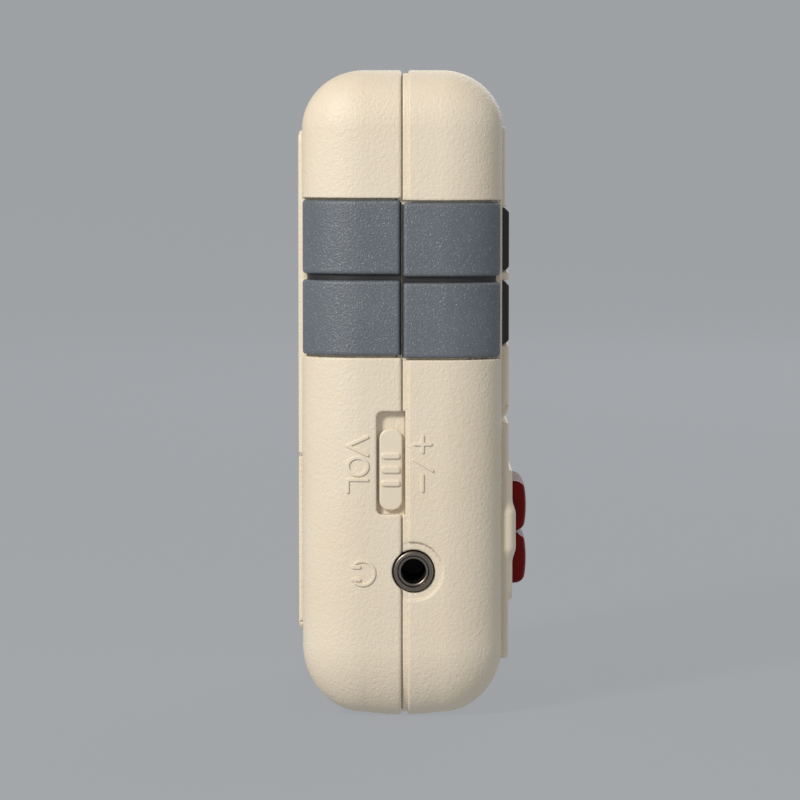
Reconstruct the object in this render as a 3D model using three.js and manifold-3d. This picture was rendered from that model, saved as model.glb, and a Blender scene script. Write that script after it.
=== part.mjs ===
// A pocket microcassette dictation machine, in millimetres, +Z up.
// It stands on its bottom end with the keys and the cassette door facing -Y.
// While it is built, Y = 0 is the plane where the two case halves meet.

import * as THREE from 'three';
import Module from 'manifold-3d';
import { ParametricGeometry } from 'three/addons/geometries/ParametricGeometry.js';
import { mergeVertices } from 'three/addons/utils/BufferGeometryUtils.js';

const wasm = await Module();
wasm.setup();

// ---------------------------------------------------------------- driving dimensions

const GAP = 0.3; // between pieces that are fitted to each other
const FAR = 200; // reaches past the case from anywhere inside it
const TOUCH = 0.01; // by which joined solids overlap, and an end radius falls short of half a slot
const QUARTER = Math.PI / 2;

// The cassette inside: it sets the width of the case.
const CASSETTE = { width: 50.2, height: 33.5, depth: 8.7, wall: 0.8, corner: 1, hubSpacing: 21, room: 0.4 };
const MOUTH = { skin: 1.3, height: 3.8, rollerHeight: 5.5, side: 1.4 };
const REEL = { bore: 2.3, hub: 4.2, opening: 3.4, fullPack: 9.2, startedPack: 6.0, tape: 3.8 };

// The case: two moulded halves with soft corners.
const CASE = {
  height: 97,
  frontDepth: 15.1,
  rearDepth: 15,
  wall: 2,
  sideRoom: 3.9, // between the cassette and the side walls
  cornerX: 6.5,
  cornerY: 9.3,
  cornerTop: 8.8,
  cornerBottom: 10.5,
  lipWidth: 0.9, // step beside the joint, on the front half
  lipDepth: 0.45,
};
const HALF = CASSETTE.width / 2 + CASE.sideRoom + CASE.wall;
const CORNER_STEPS = 5;
const EDGE_STEPS = 6;

// Grey bands let into the sides, in four quarters on each side.
const GRIP = {
  bottom: 54.6,
  lowerHeight: 11.2,
  between: 0.9,
  upperHeight: 11,
  thickness: 0.7,
  frontDrop: 0.35,
  frontStart: 0.15, // from the joint
  rearStart: 0.35,
};

// Raised fields on the front and the back.
const FRONT = { halfWidth: HALF - 6, proud: 0.9, topProud: 0.3, corner: 3, bottom: 8.2, seat: 1 };
const REAR = { halfWidth: HALF - 6.7, proud: 0.6, corner: 3, bottom: 11.8, top: 88 };

// Both doors turn on a pin near their lower edge.
const PIN = { radius: 0.45, bearing: 0.8, room: 0.25, barrelWall: 0.85, blend: 0.2 };
const DOOR = { bottom: 44.5, above: 5.8, thickness: 2.7, edge: 2.2 };
const WINDOW = { bottom: 55.8, height: 9.9, rib: 1.1, thickness: 1.35, frame: 4, ledge: 1.2, bed: 0.25 };
const BATTERY_DOOR = { aboveCells: 3.1, thickness: 2, edge: 2.2 };
const THUMB_RECESS = { halfWidth: 6, depth: 0.5, belowTop: 1.5, height: 2.5 };

// The controls on the front.
const KEY = {
  left: 4.7 - FRONT.halfWidth,
  width: 17.6,
  height: 8,
  bottom: 19.2,
  proud: 3.8,
  travel: 1.5,
  stem: 4,
  crown: 0.2,
  edge: 1.4,
  shoulder: 1,
};
const PAD = { belowKeys: 1.9, aboveKeys: 2, halfWidth: FRONT.halfWidth - 0.4, proud: 1.5, corner: 2 };
const THUMB_REST = { bottom: 24.3, top: 31.4, proud: 1.8, width: 5.5, overhang: 1.4, lift: 0.1 };
const SPEAKER = {
  x: FRONT.halfWidth / 2,
  radius: 10.5,
  rim: 1.5,
  depth: 4.4,
  magnet: 6,
  cone: 1,
  slots: 6,
  slot: 1.1,
  pitch: 2.5,
  margin: 1, // between the ends of the slots and the hole in the case
};
const LAMP = { x: FRONT.halfWidth - 3.5, below: 3.3, radius: 1.1, proud: 0.25, behind: 3 };

// The slides in the two sides, and the earphone socket.
const SLIDE = {
  bottom: 30.9,
  height: 15.4,
  depth: 1.4,
  front: 0.42, // how far the recess reaches into the front half
  knobWidth: 3.45,
  clearance: 0.4, // beside the knob
  knobHeight: 12.2,
  knobRise: 0.6, // the knob's rest above the recess's lower end
  ridge: 0.3,
  ridges: 3,
  ridgeWidth: 0.9,
  ridgePitch: 2.05,
  stem: 1.4,
  slotMargin: 4.7, // from the ends of the recess to the slot in its floor
  below: 0.25,
};
const WIND_REST = 1.6; // the wind knob rests midway along its recess
const SWITCH = { depth: 2.6, width: 5, margin: 0.3 };
const JACK = {
  z: 22.4,
  sleeve: 3.15,
  bore: 1.8,
  depth: 3,
  edge: 0.35,
  chamfer: 0.5,
  body: 6.6,
  behind: 0.25, // between the body and the battery bay
  length: 11,
  end: 1,
  dishRim: 1.15,
};

// The battery bay.
const CELL = {
  radius: 5.25,
  length: 44.5,
  nipple: 1.9,
  nippleLength: 0.8,
  offset: -1,
  gap: 0.8,
  rise: 2.5, // above the lower edge of the battery door
};
const BAY = { wall: 0.6, side: 0.2, foot: 1.05, underDoor: 0.4 };
const SPRING = { wire: 0.3, radius: 3.2, taper: 1, turns: 2.5, length: 1.9 };
const CONTACT = { thickness: 0.4, half: 3.15 };

// The tape mechanism.
const CHASSIS = { thickness: 0.8, halfWidth: HALF - 4.5, belowCassette: 8.7 };
const FLYWHEEL = { x: 14.5, rise: 3.2, radius: 10.5, groove: 9.4, width: 1.8, capstan: 1, tip: 2.4 };
const SPINDLE = { discWidth: 1.5, shaft: 1.4, valley: 1.2, tip: 1.9, tipStart: 2, splines: 6 };
const BELT = { width: 0.8, thickness: 0.8 };
const MOTOR = {
  x: -7,
  belowTop: 13,
  radius: 8.5,
  behindBelt: 0.8,
  room: 2.15, // between the motor and the back wall
  pulley: 2,
  flange: 2.9,
  flangeWidth: 0.4,
};
const HEAD = { playbackWidth: 8, eraseWidth: 5, eraseX: -12.9, rise: 1.3, height: 5.9, depth: 4.7 };
const HEAD_PLATE = { left: -18, right: 8, belowCassette: 8.1, height: 4.5, thickness: 1.2, corner: 0.8 };
const PINCH = {
  x: 24,
  below: 5, // the pivot and the roller's axle, below the cassette
  rollerX: 14.5,
  rollerBelow: 4.1,
  roller: 3,
  width: 4.6,
  axle: 0.7,
  axleEnd: 1,
  arm: 1.6,
  pivot: 1,
  pivotLength: 2,
  eye: 2.4,
};

const BOARD = {
  thickness: 1,
  mainY: 3.8,
  mainTop: 72,
  side: 0.6,
  aboveBay: 3.45,
  keyY: -7,
  keyBottom: 12,
  keyEdge: 1, // inside the panel's left edge, and below the chassis
};
const CHIP = { thickness: 1.8, overlap: 0.1 };
const CHIPS = [
  { x: -16, z: 48, width: 8, height: 6 },
  { x: -14, z: 62, width: 10, height: 5 },
  { x: 6, z: 60, width: 7, height: 7 },
];
const CAPACITOR = { radius: 2.5, height: 5 };
const CAPACITORS = [
  { x: 16, z: 48 },
  { x: 17, z: 62 },
];
const DOME = { radius: 2.4, height: 0.6 };
const MICROPHONE = { x: 12, behindWall: 2.6, radius: 3, height: 5, belowTop: 4.7, slots: 3, slot: 0.8, pitch: 3 };
const SCREW = {
  x: FRONT.halfWidth - 3.5,
  belowTop: 11,
  shank: 0.9,
  head: 2,
  headHeight: 0.9,
  rim: 0.3,
  slotHalf: 1.3,
  slotWidth: 0.5,
  slotDepth: 0.6,
  reach: 6,
  room: 1, // past the end of the screw
  boss: 2.4,
  post: 9, // how far the front boss reaches from the joint
  web: 1.2,
};
const TAB = { x: 17, width: 6, thickness: 1, reach: 3, root: 1 };

// ---------------------------------------------------------------- places that follow

const frontFace = -CASE.frontDepth;
const rearFace = CASE.rearDepth;
const frontField = frontFace - FRONT.proud;
const rearField = rearFace + REAR.proud;
const doorInner = frontField + DOOR.thickness;
const cassetteFront = doorInner + CASSETTE.room;
const cassetteRear = cassetteFront + CASSETTE.depth;
const chassisFront = cassetteRear + GAP;
const chassisRear = chassisFront + CHASSIS.thickness;
const wheelFront = chassisRear + GAP;
const beltFront = wheelFront + FLYWHEEL.width + GAP;
const doorPivot = { y: frontField + DOOR.edge, z: DOOR.bottom + DOOR.edge };
const cassetteBottom = doorPivot.z + DOOR.edge + CASSETTE.room;
const cassetteTop = cassetteBottom + CASSETTE.height;
const doorTop = cassetteTop + DOOR.above;
const hubZ = (cassetteBottom + cassetteTop) / 2;
const hubX = CASSETTE.hubSpacing / 2;
const panelTop = DOOR.bottom - GAP;
const batteryPivot = { y: rearField - BATTERY_DOOR.edge, z: REAR.bottom + BATTERY_DOOR.edge };
const batteryInner = rearField - BATTERY_DOOR.thickness;
const cellY = batteryInner - GAP - CELL.radius;
const bayFront = cellY - CELL.radius - GAP - BAY.wall;
const cellZ = [0, 1].map((row) => {
  return REAR.bottom + CELL.rise + CELL.radius + row * (2 * CELL.radius + CELL.gap);
});
const batteryDoorTop = cellZ[1] + CELL.radius + BATTERY_DOOR.aboveCells;
const bayBottom = cellZ[0] - CELL.radius - BAY.foot;
const bayTop = cellZ[1] + CELL.radius + BAY.foot;
const upperGrip = GRIP.bottom + GRIP.lowerHeight + GRIP.between;
const gripTop = upperGrip + GRIP.upperHeight;
const screwZ = CASE.height - SCREW.belowTop;
const keyRight = KEY.left + KEY.width;
const padBottom = KEY.bottom - PAD.belowKeys;
const padTop = KEY.bottom + 2 * KEY.height + PAD.aboveKeys;
const padMiddle = (padBottom + padTop) / 2;
const motorZ = CASE.height - MOTOR.belowTop;
const slideTop = SLIDE.bottom + SLIDE.height;
const slideFloor = HALF - SLIDE.depth;
const slideReach = SLIDE.knobWidth + 2 * SLIDE.clearance - SLIDE.front;
const slideMiddle = (slideReach - SLIDE.front) / 2;
const innerSide = HALF - CASE.wall;
const bayHalf = innerSide - 2 * GAP - SWITCH.depth - BAY.side;
const jackY = bayFront - JACK.behind - JACK.body / 2;
const jackBodyStart = -HALF + JACK.depth + GAP;
const jackBodyEnd = jackBodyStart + JACK.length;
const lampZ = panelTop - LAMP.below;
const microphoneY = frontFace + CASE.wall + MICROPHONE.behindWall + MICROPHONE.radius;
const chassisBottom = cassetteBottom - CHASSIS.belowCassette;
const headPlateBottom = cassetteBottom - HEAD_PLATE.belowCassette;
const headPlateFront = chassisFront - GAP - HEAD_PLATE.thickness;
const flywheelZ = cassetteBottom + FLYWHEEL.rise;
const frictionDisc = Math.hypot(hubX - FLYWHEEL.x, hubZ - flywheelZ) - FLYWHEEL.radius - GAP;
const pinchPivot = { x: PINCH.x, z: cassetteBottom - PINCH.below };
const axleCentre = { x: PINCH.rollerX, z: cassetteBottom - PINCH.rollerBelow };
const boardHalf = bayHalf - BOARD.side;
const boardBottom = bayTop + BOARD.aboveBay;

// ---------------------------------------------------------------- materials

function material(color, roughness, metalness = 0) {
  return new THREE.MeshStandardMaterial({ color, roughness, metalness });
}

const cream = () => material(0xe6dac8, 0.62);
const grey = () => material(0x7b8086, 0.7);
const smoked = () => material(0x1e1c18, 0.18);
const red = () => material(0x7a1512, 0.22);
const nickel = () => material(0x9a958c, 0.3, 1);
const steel = () => material(0x8f9296, 0.4, 1);
const brass = () => material(0xb08d4a, 0.35, 1);
const blackPlastic = () => material(0x1b1b1c, 0.5);
const rubber = () => material(0x151515, 0.9);
const green = () => material(0x2c5a38, 0.55);
const brown = () => material(0x3a261c, 0.35);
const white = () => material(0xd8d6d0, 0.5);

// ---------------------------------------------------------------- solids

/** Turns a closed three.js geometry into a solid with its faces pointing out. */
function solid(geometry) {
  geometry.deleteAttribute('normal');
  geometry.deleteAttribute('uv');
  const merged = mergeVertices(geometry, 1e-4);
  const points = merged.attributes.position;
  const corners = merged.index.array;
  const kept = [];
  let volume = 0;
  const [a, b, c] = [new THREE.Vector3(), new THREE.Vector3(), new THREE.Vector3()];
  for (let i = 0; i < corners.length; i += 3) {
    const [p, q, r] = corners.slice(i, i + 3);
    if (p === q || q === r || r === p) continue;
    kept.push([p, q, r]);
    volume += a.fromBufferAttribute(points, p).dot(
      b.fromBufferAttribute(points, q).cross(c.fromBufferAttribute(points, r)),
    );
  }
  const facing = volume < 0 ? kept.map(([p, q, r]) => [p, r, q]) : kept;
  return new wasm.Manifold(new wasm.Mesh({
    numProp: 3,
    vertProperties: new Float32Array(points.array),
    triVerts: new Uint32Array(facing.flat()),
  }));
}

function join(...solids) {
  return solids.reduce((sum, next) => sum.add(next));
}

function cut(body, ...tools) {
  return tools.reduce((rest, tool) => rest.subtract(tool), body);
}

/** A box from its [low, high] pairs. */
function box(xs, ys, zs) {
  const size = [xs, ys, zs].map(([low, high]) => high - low);
  const middle = [xs, ys, zs].map(([low, high]) => (low + high) / 2);
  return solid(new THREE.BoxGeometry(...size).translate(...middle));
}

/** The same box on both sides of the middle plane. */
function boxPair([inner, outer], ys, zs) {
  return join(box([inner, outer], ys, zs), box([-outer, -inner], ys, zs));
}

/** A round bar along x, y or z; the other two coordinates of its axis come in x, y, z order. */
function rod(axis, [first, second], [low, high], radius, sides = 16) {
  const bar = new THREE.CylinderGeometry(radius, radius, high - low, sides);
  const middle = (low + high) / 2;
  if (axis === 'x') return solid(bar.rotateZ(QUARTER).translate(middle, first, second));
  if (axis === 'y') return solid(bar.translate(first, middle, second));
  return solid(bar.rotateX(QUARTER).translate(first, second, middle));
}

/** A turned piece about the y or x axis from a [radius, distance] profile. */
function turned(axis, [first, second], profile, sides = 20) {
  const points = profile.map(([radius, along]) => new THREE.Vector2(radius, along));
  const shape = new THREE.LatheGeometry(points, sides);
  if (axis === 'x') return solid(shape.rotateZ(-QUARTER).translate(0, first, second));
  return solid(shape.translate(first, 0, second));
}

/** Extrudes an outline drawn in x and z between two depths. */
function plate(shape, [front, rear], curveSegments = 4) {
  const settings = { depth: rear - front, bevelEnabled: false, curveSegments };
  return solid(new THREE.ExtrudeGeometry(shape, settings).rotateX(QUARTER).translate(0, rear, 0));
}

/** Extrudes an outline drawn in y and z across the width. */
function bar(shape, [left, right], curveSegments = 5) {
  const settings = { depth: right - left, bevelEnabled: false, curveSegments };
  const geometry = new THREE.ExtrudeGeometry(shape, settings);
  return solid(geometry.rotateX(QUARTER).rotateZ(QUARTER).translate(left, 0, 0));
}

/** A rectangle whose lower and upper corners have their own radii. */
function rectangle([left, right], [low, high], lower, upper = lower) {
  const shape = new THREE.Shape();
  shape.moveTo(left + lower, low);
  shape.lineTo(right - lower, low);
  if (lower > 0) shape.absarc(right - lower, low + lower, lower, -QUARTER, 0);
  shape.lineTo(right, high - upper);
  if (upper > 0) shape.absarc(right - upper, high - upper, upper, 0, QUARTER);
  shape.lineTo(left + upper, high);
  if (upper > 0) shape.absarc(left + upper, high - upper, upper, QUARTER, 2 * QUARTER);
  shape.lineTo(left, low + lower);
  if (lower > 0) shape.absarc(left + lower, low + lower, lower, 2 * QUARTER, 3 * QUARTER);
  return shape;
}

/** A strip with round ends between two points of the x-z plane. */
function link(from, to, radius) {
  const angle = Math.atan2(to.z - from.z, to.x - from.x);
  const shape = new THREE.Shape();
  shape.absarc(from.x, from.z, radius, angle + QUARTER, angle + 3 * QUARTER);
  shape.absarc(to.x, to.z, radius, angle - QUARTER, angle + QUARTER);
  return shape;
}

/** The outer form of the case, moved inwards by an inset: flats joined by elliptical corners. */
function caseBlock(inset) {
  const ring = CORNER_STEPS + 1;
  const columns = 4 * ring;
  const rows = 2 * ring + 1;
  const core = {
    x: HALF - CASE.cornerX,
    front: CASE.frontDepth - CASE.cornerY,
    rear: CASE.rearDepth - CASE.cornerY,
  };
  const place = (u, v, target) => {
    const column = Math.round(u * columns) % columns;
    const row = Math.round(v * rows);
    const quadrant = Math.floor(column / ring);
    const turn = (quadrant + (column % ring) / CORNER_STEPS) * QUARTER;
    const upper = row > ring;
    const cap = row === 0 || row === rows;
    const step = upper ? row - ring - 1 : row - ring;
    const tilt = (step / CORNER_STEPS) * QUARTER;
    const sideX = quadrant === 0 || quadrant === 3 ? 1 : -1;
    const coreY = quadrant < 2 ? core.rear : -core.front;
    const spread = cap ? 0 : Math.cos(tilt);
    const x = sideX * core.x + (CASE.cornerX - inset) * Math.cos(turn) * spread;
    const y = coreY + (CASE.cornerY - inset) * Math.sin(turn) * spread;
    const pole = upper ? 1 : -1;
    const rise = cap ? pole : Math.sin(tilt);
    const z = upper
      ? CASE.height - CASE.cornerTop + (CASE.cornerTop - inset) * rise
      : CASE.cornerBottom + (CASE.cornerBottom - inset) * rise;
    target.set(cap ? 0 : x, cap ? 0 : y, z);
  };
  return solid(new ParametricGeometry(place, columns, rows));
}

const everywhere = [-FAR, FAR];
const outerForm = caseBlock(0);

/** The layer of the case between two insets, within a box. */
function skin(inset, xs, ys, zs) {
  return outerForm.subtract(caseBlock(inset)).intersect(box(xs, ys, zs));
}

// ---------------------------------------------------------------- the scene

const machine = new THREE.Group();

function piece(name, body, finish) {
  const { vertProperties, triVerts } = body.getMesh();
  const geometry = new THREE.BufferGeometry();
  geometry.setAttribute('position', new THREE.BufferAttribute(new Float32Array(vertProperties), 3));
  geometry.setIndex(new THREE.BufferAttribute(new Uint32Array(triVerts), 1));
  const mesh = new THREE.Mesh(geometry, finish);
  mesh.name = name;
  machine.add(mesh);
}

// ---------------------------------------------------------------- case

/** The pockets that the grey bands lie in, for the half of the case on one side of the joint. */
function gripPockets(front) {
  const drop = front ? GRIP.frontDrop : 0;
  const zs = [GRIP.bottom - GAP - drop, gripTop + GAP - drop];
  const depth = GRIP.thickness + GAP;
  const inner = (front ? FRONT.halfWidth + 2 * GAP : REAR.halfWidth) + GAP;
  return join(
    skin(depth, [inner, FAR], everywhere, zs),
    skin(depth, [-FAR, -inner], everywhere, zs),
  );
}

/** Slots in the wall that hold the ends of a door's pin, open to the inside. */
function pinSlots(halfWidth, pivot, outward) {
  const reach = PIN.radius + PIN.room;
  const ys = [pivot.y - outward * CASE.wall, pivot.y + outward * reach].sort((a, b) => a - b);
  return boxPair([halfWidth, halfWidth + PIN.bearing + GAP], ys, [pivot.z - reach, pivot.z + reach]);
}

function screwBoss(x, from, to) {
  return rod('y', [x, screwZ], [from, to], SCREW.boss, 12);
}

function jackHole() {
  return rod('x', [jackY, JACK.z], [-HALF - GAP, -innerSide + 2 * CASE.wall], JACK.sleeve + GAP, 24);
}

function frontShell() {
  const half = cut(outerForm, caseBlock(CASE.wall), box(everywhere, [0, FAR], everywhere));
  const bosses = [-SCREW.x, SCREW.x].map((x) => screwBoss(x, -SCREW.post, 0));
  const webs = boxPair([SCREW.x, innerSide + CASE.wall / 2], [-SCREW.post, 0], [
    screwZ - SCREW.web / 2,
    screwZ + SCREW.web / 2,
  ]);
  const bores = [-SCREW.x, SCREW.x].map((x) => {
    return rod('y', [x, screwZ], [-SCREW.reach - SCREW.room, FAR], SCREW.shank + GAP, 10);
  });
  const lip = skin(CASE.lipDepth, everywhere, [-CASE.lipWidth, FAR], everywhere);
  const bed = box(
    [-FRONT.halfWidth - GAP, FRONT.halfWidth + GAP],
    [-FAR, frontFace + FRONT.seat],
    [FRONT.bottom - GAP, DOOR.bottom],
  );
  const doorway = box(
    [-FRONT.halfWidth - GAP, FRONT.halfWidth + GAP],
    [-FAR, frontFace + 2 * CASE.wall],
    [panelTop, doorTop + GAP],
  );
  const keyHole = box([KEY.left - 2 * GAP, keyRight + 2 * GAP], [-FAR, 0], [
    KEY.bottom - 2 * GAP,
    KEY.bottom + 2 * KEY.height + 2 * GAP,
  ]);
  const speakerHole = rod('y', [SPEAKER.x, padMiddle], [-FAR, 0], SPEAKER.radius - SPEAKER.rim, 20);
  const lampHole = rod('y', [LAMP.x, lampZ], [-FAR, 0], LAMP.radius + GAP, 10);
  const dish = rod('x', [jackY, JACK.z], [-FAR, -HALF + CASE.lipDepth], JACK.sleeve + JACK.dishRim, 24);
  const soundSlots = Array.from({ length: MICROPHONE.slots }, (_, slot) => {
    const x = MICROPHONE.x + (slot - (MICROPHONE.slots - 1) / 2) * MICROPHONE.pitch;
    const ys = [microphoneY - MICROPHONE.radius, microphoneY + MICROPHONE.radius];
    return box([x - MICROPHONE.slot / 2, x + MICROPHONE.slot / 2], ys, [
      CASE.height - 2 * CASE.wall,
      FAR,
    ]);
  });
  return cut(
    join(half, ...bosses, webs),
    ...bores,
    lip,
    bed,
    doorway,
    pinSlots(FRONT.halfWidth, doorPivot, -1),
    gripPockets(true),
    slideRecess(-1),
    slideRecess(1),
    keyHole,
    speakerHole,
    lampHole,
    jackHole(),
    dish,
    ...soundSlots,
  );
}

/** The recess of a side slide and the narrow slot in its floor. */
function slideRecess(side) {
  const xs = [slideFloor, FAR].map((x) => side * x).sort((a, b) => a - b);
  const recess = box(xs, [-SLIDE.front, slideReach], [SLIDE.bottom, slideTop]);
  const half = SLIDE.stem / 2 + GAP;
  const slotXs = [innerSide - CASE.wall, FAR].map((x) => side * x).sort((a, b) => a - b);
  const slot = box(slotXs, [slideMiddle - half, slideMiddle + half], [
    SLIDE.bottom + SLIDE.slotMargin,
    slideTop - SLIDE.slotMargin,
  ]);
  return join(recess, slot);
}

function rearShell() {
  const half = cut(outerForm, caseBlock(CASE.wall), box(everywhere, [-FAR, GAP], everywhere));
  const field = plate(
    rectangle([-REAR.halfWidth, REAR.halfWidth], [batteryDoorTop + GAP, REAR.top], 0, REAR.corner),
    [rearFace - CASE.wall, rearField],
  );
  const bosses = [-SCREW.x, SCREW.x].map((x) => screwBoss(x, GAP, rearFace - CASE.wall / 2));
  const bores = [-SCREW.x, SCREW.x].flatMap((x) => [
    rod('y', [x, screwZ], [-FAR, FAR], SCREW.shank + GAP, 10),
    rod('y', [x, screwZ], [rearField - SCREW.headHeight - 2 * GAP, FAR], SCREW.head + GAP, 16),
  ]);
  const tabs = [-TAB.x, TAB.x].flatMap((x) => {
    const xs = [x - TAB.width / 2, x + TAB.width / 2];
    const floor = CASE.wall + GAP;
    return [
      box(xs, [-TAB.reach, TAB.reach], [floor, floor + TAB.thickness]),
      box(xs, [TAB.root, TAB.reach], [CASE.wall / 2, floor + TAB.thickness]),
    ];
  });
  const opening = box(
    [-REAR.halfWidth - GAP, REAR.halfWidth + GAP],
    [rearFace - 2 * CASE.wall, FAR],
    [REAR.bottom - GAP, batteryDoorTop + GAP],
  );
  return cut(
    join(half, field, ...bosses, ...tabs),
    ...bores,
    opening,
    pinSlots(REAR.halfWidth, batteryPivot, 1),
    gripPockets(false),
    slideRecess(-1),
    slideRecess(1),
    jackHole(),
  );
}

/** One quarter of the grey bands: upper or lower, front or rear, left or right. */
function grip(upper, front, side) {
  const drop = front ? GRIP.frontDrop : 0;
  const low = (upper ? upperGrip : GRIP.bottom) - drop;
  const high = low + (upper ? GRIP.upperHeight : GRIP.lowerHeight);
  const inner = front ? FRONT.halfWidth + 4 * GAP : REAR.halfWidth + 2 * GAP;
  const xs = [inner, FAR].map((x) => side * x).sort((a, b) => a - b);
  const ys = front ? [-FAR, -GRIP.frontStart] : [GRIP.rearStart, FAR];
  return skin(GRIP.thickness, xs, ys, [low, high]);
}

// ---------------------------------------------------------------- doors

/** The side outline of a door: a flat plate that ends in a rounded edge and a barrel for the pin. */
function doorOutline(outer, inner, pivot, edge, top, outward) {
  const barrel = PIN.radius + GAP + PIN.barrelWall;
  const arc = (angle, radius) => ({
    y: pivot.y + outward * radius * Math.cos(angle),
    z: pivot.z + radius * Math.sin(angle),
  });
  const shape = new THREE.Shape();
  shape.moveTo(inner, top);
  shape.lineTo(outer, top);
  for (let step = 0; step <= EDGE_STEPS; step += 1) {
    const point = arc((-step / EDGE_STEPS) * QUARTER, edge);
    shape.lineTo(point.y, point.z);
  }
  for (let step = 0; step <= EDGE_STEPS; step += 1) {
    const point = arc(-QUARTER - (step / EDGE_STEPS) * 2 * QUARTER, barrel);
    shape.lineTo(point.y, point.z);
  }
  shape.lineTo(inner, pivot.z + barrel + PIN.blend);
  return shape;
}

function windowZone(index) {
  const low = WINDOW.bottom + index * (WINDOW.height + WINDOW.rib);
  return [low, low + WINDOW.height];
}

function cassetteDoor() {
  const outline = doorOutline(frontField, doorInner, doorPivot, DOOR.edge, doorTop, -1);
  const slab = bar(outline, [-FRONT.halfWidth, FRONT.halfWidth]);
  const thinTop = box(everywhere, [-FAR, frontFace - FRONT.topProud], [windowZone(1)[1], FAR]);
  const seats = [0, 1].flatMap((index) => {
    const [low, high] = windowZone(index);
    const opening = FRONT.halfWidth - WINDOW.frame;
    const deep = frontField + WINDOW.thickness + WINDOW.bed;
    return [
      box(everywhere, [-FAR, deep], [low, high]),
      box([-opening, opening], [-FAR, 0], [low + WINDOW.ledge, high - WINDOW.ledge]),
    ];
  });
  const pinHole = rod('x', [doorPivot.y, doorPivot.z], everywhere, PIN.radius + GAP, 10);
  return cut(slab, thinTop, ...seats, pinHole);
}

function windowPane(index) {
  const [low, high] = windowZone(index);
  const xs = [-FRONT.halfWidth, FRONT.halfWidth];
  return box(xs, [frontField, frontField + WINDOW.thickness], [low + WINDOW.bed, high - WINDOW.bed]);
}

function hingePin(halfWidth, pivot) {
  const end = halfWidth + PIN.bearing;
  return rod('x', [pivot.y, pivot.z], [-end, end], PIN.radius, 10);
}

function batteryDoor() {
  const { edge } = BATTERY_DOOR;
  const outline = doorOutline(rearField, batteryInner, batteryPivot, edge, batteryDoorTop, 1);
  const slab = bar(outline, [-REAR.halfWidth, REAR.halfWidth]);
  const corners = plate(
    rectangle([-REAR.halfWidth, REAR.halfWidth], [REAR.bottom, batteryDoorTop], REAR.corner, 0),
    [rearFace - 2 * CASE.wall, rearField],
  );
  const recessTop = batteryDoorTop - THUMB_RECESS.belowTop;
  const thumb = box(
    [-THUMB_RECESS.halfWidth, THUMB_RECESS.halfWidth],
    [rearField - THUMB_RECESS.depth, FAR],
    [recessTop - THUMB_RECESS.height, recessTop],
  );
  const pinHole = rod('x', [batteryPivot.y, batteryPivot.z], everywhere, PIN.radius + GAP, 10);
  return cut(slab.intersect(corners), thumb, pinHole);
}

// ---------------------------------------------------------------- controls

/** The lower front panel with its raised pad, the key openings and the sound slots. */
function frontPanel() {
  const back = frontFace + FRONT.seat - GAP;
  const field = plate(
    rectangle([-FRONT.halfWidth, FRONT.halfWidth], [FRONT.bottom, panelTop], FRONT.corner, 0),
    [frontField, back],
  );
  const pad = plate(
    rectangle([-PAD.halfWidth, PAD.halfWidth], [padBottom, padTop], PAD.corner),
    [frontFace - PAD.proud, back],
  );
  const restLeft = -FRONT.halfWidth - THUMB_REST.overhang;
  const rest = box(
    [restLeft, restLeft + THUMB_REST.width],
    [frontFace - THUMB_REST.proud, frontFace - THUMB_REST.lift],
    [THUMB_REST.bottom, THUMB_REST.top],
  );
  const keyHole = box([KEY.left - GAP, keyRight + GAP], everywhere, [
    KEY.bottom - GAP,
    KEY.bottom + 2 * KEY.height + GAP,
  ]);
  const slots = Array.from({ length: SPEAKER.slots }, (_, slot) => {
    const offset = (slot - (SPEAKER.slots - 1) / 2) * SPEAKER.pitch;
    const half = Math.sqrt((SPEAKER.radius - SPEAKER.rim - SPEAKER.margin) ** 2 - offset ** 2);
    const z = padMiddle + offset;
    return plate(
      rectangle(
        [SPEAKER.x - half, SPEAKER.x + half],
        [z - SPEAKER.slot / 2, z + SPEAKER.slot / 2],
        SPEAKER.slot / 2 - TOUCH,
      ),
      [frontFace - 2 * PAD.proud, frontFace + 2 * FRONT.seat],
      2,
    );
  });
  const lampHole = rod('y', [LAMP.x, lampZ], everywhere, LAMP.radius + GAP, 10);
  return cut(join(field, pad, rest), keyHole, ...slots, lampHole);
}

/** A key: a crowned cap with a stem that reaches the switch board. */
function key(index) {
  const low = KEY.bottom + index * KEY.height + GAP / 2;
  const high = low + KEY.height - GAP;
  const face = frontFace - KEY.proud;
  const back = frontFace + FRONT.seat + GAP;
  const profile = new THREE.Shape();
  profile.moveTo(back, low);
  profile.lineTo(back, high);
  profile.lineTo(face + KEY.shoulder, high);
  profile.quadraticCurveTo(face + KEY.crown / 2, high, face + KEY.crown, high - KEY.edge);
  profile.quadraticCurveTo(face - KEY.crown, (low + high) / 2, face + KEY.crown, low + KEY.edge);
  profile.quadraticCurveTo(face + KEY.crown / 2, low, face + KEY.shoulder, low);
  const cap = bar(profile, [KEY.left, keyRight], 4);
  const x = (KEY.left + keyRight) / 2;
  const z = (low + high) / 2;
  const end = BOARD.keyY - DOME.height - GAP - TOUCH - KEY.travel;
  const half = KEY.stem / 2;
  return join(cap, box([x - half, x + half], [back - 1, end], [z - half, z + half]));
}

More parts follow.
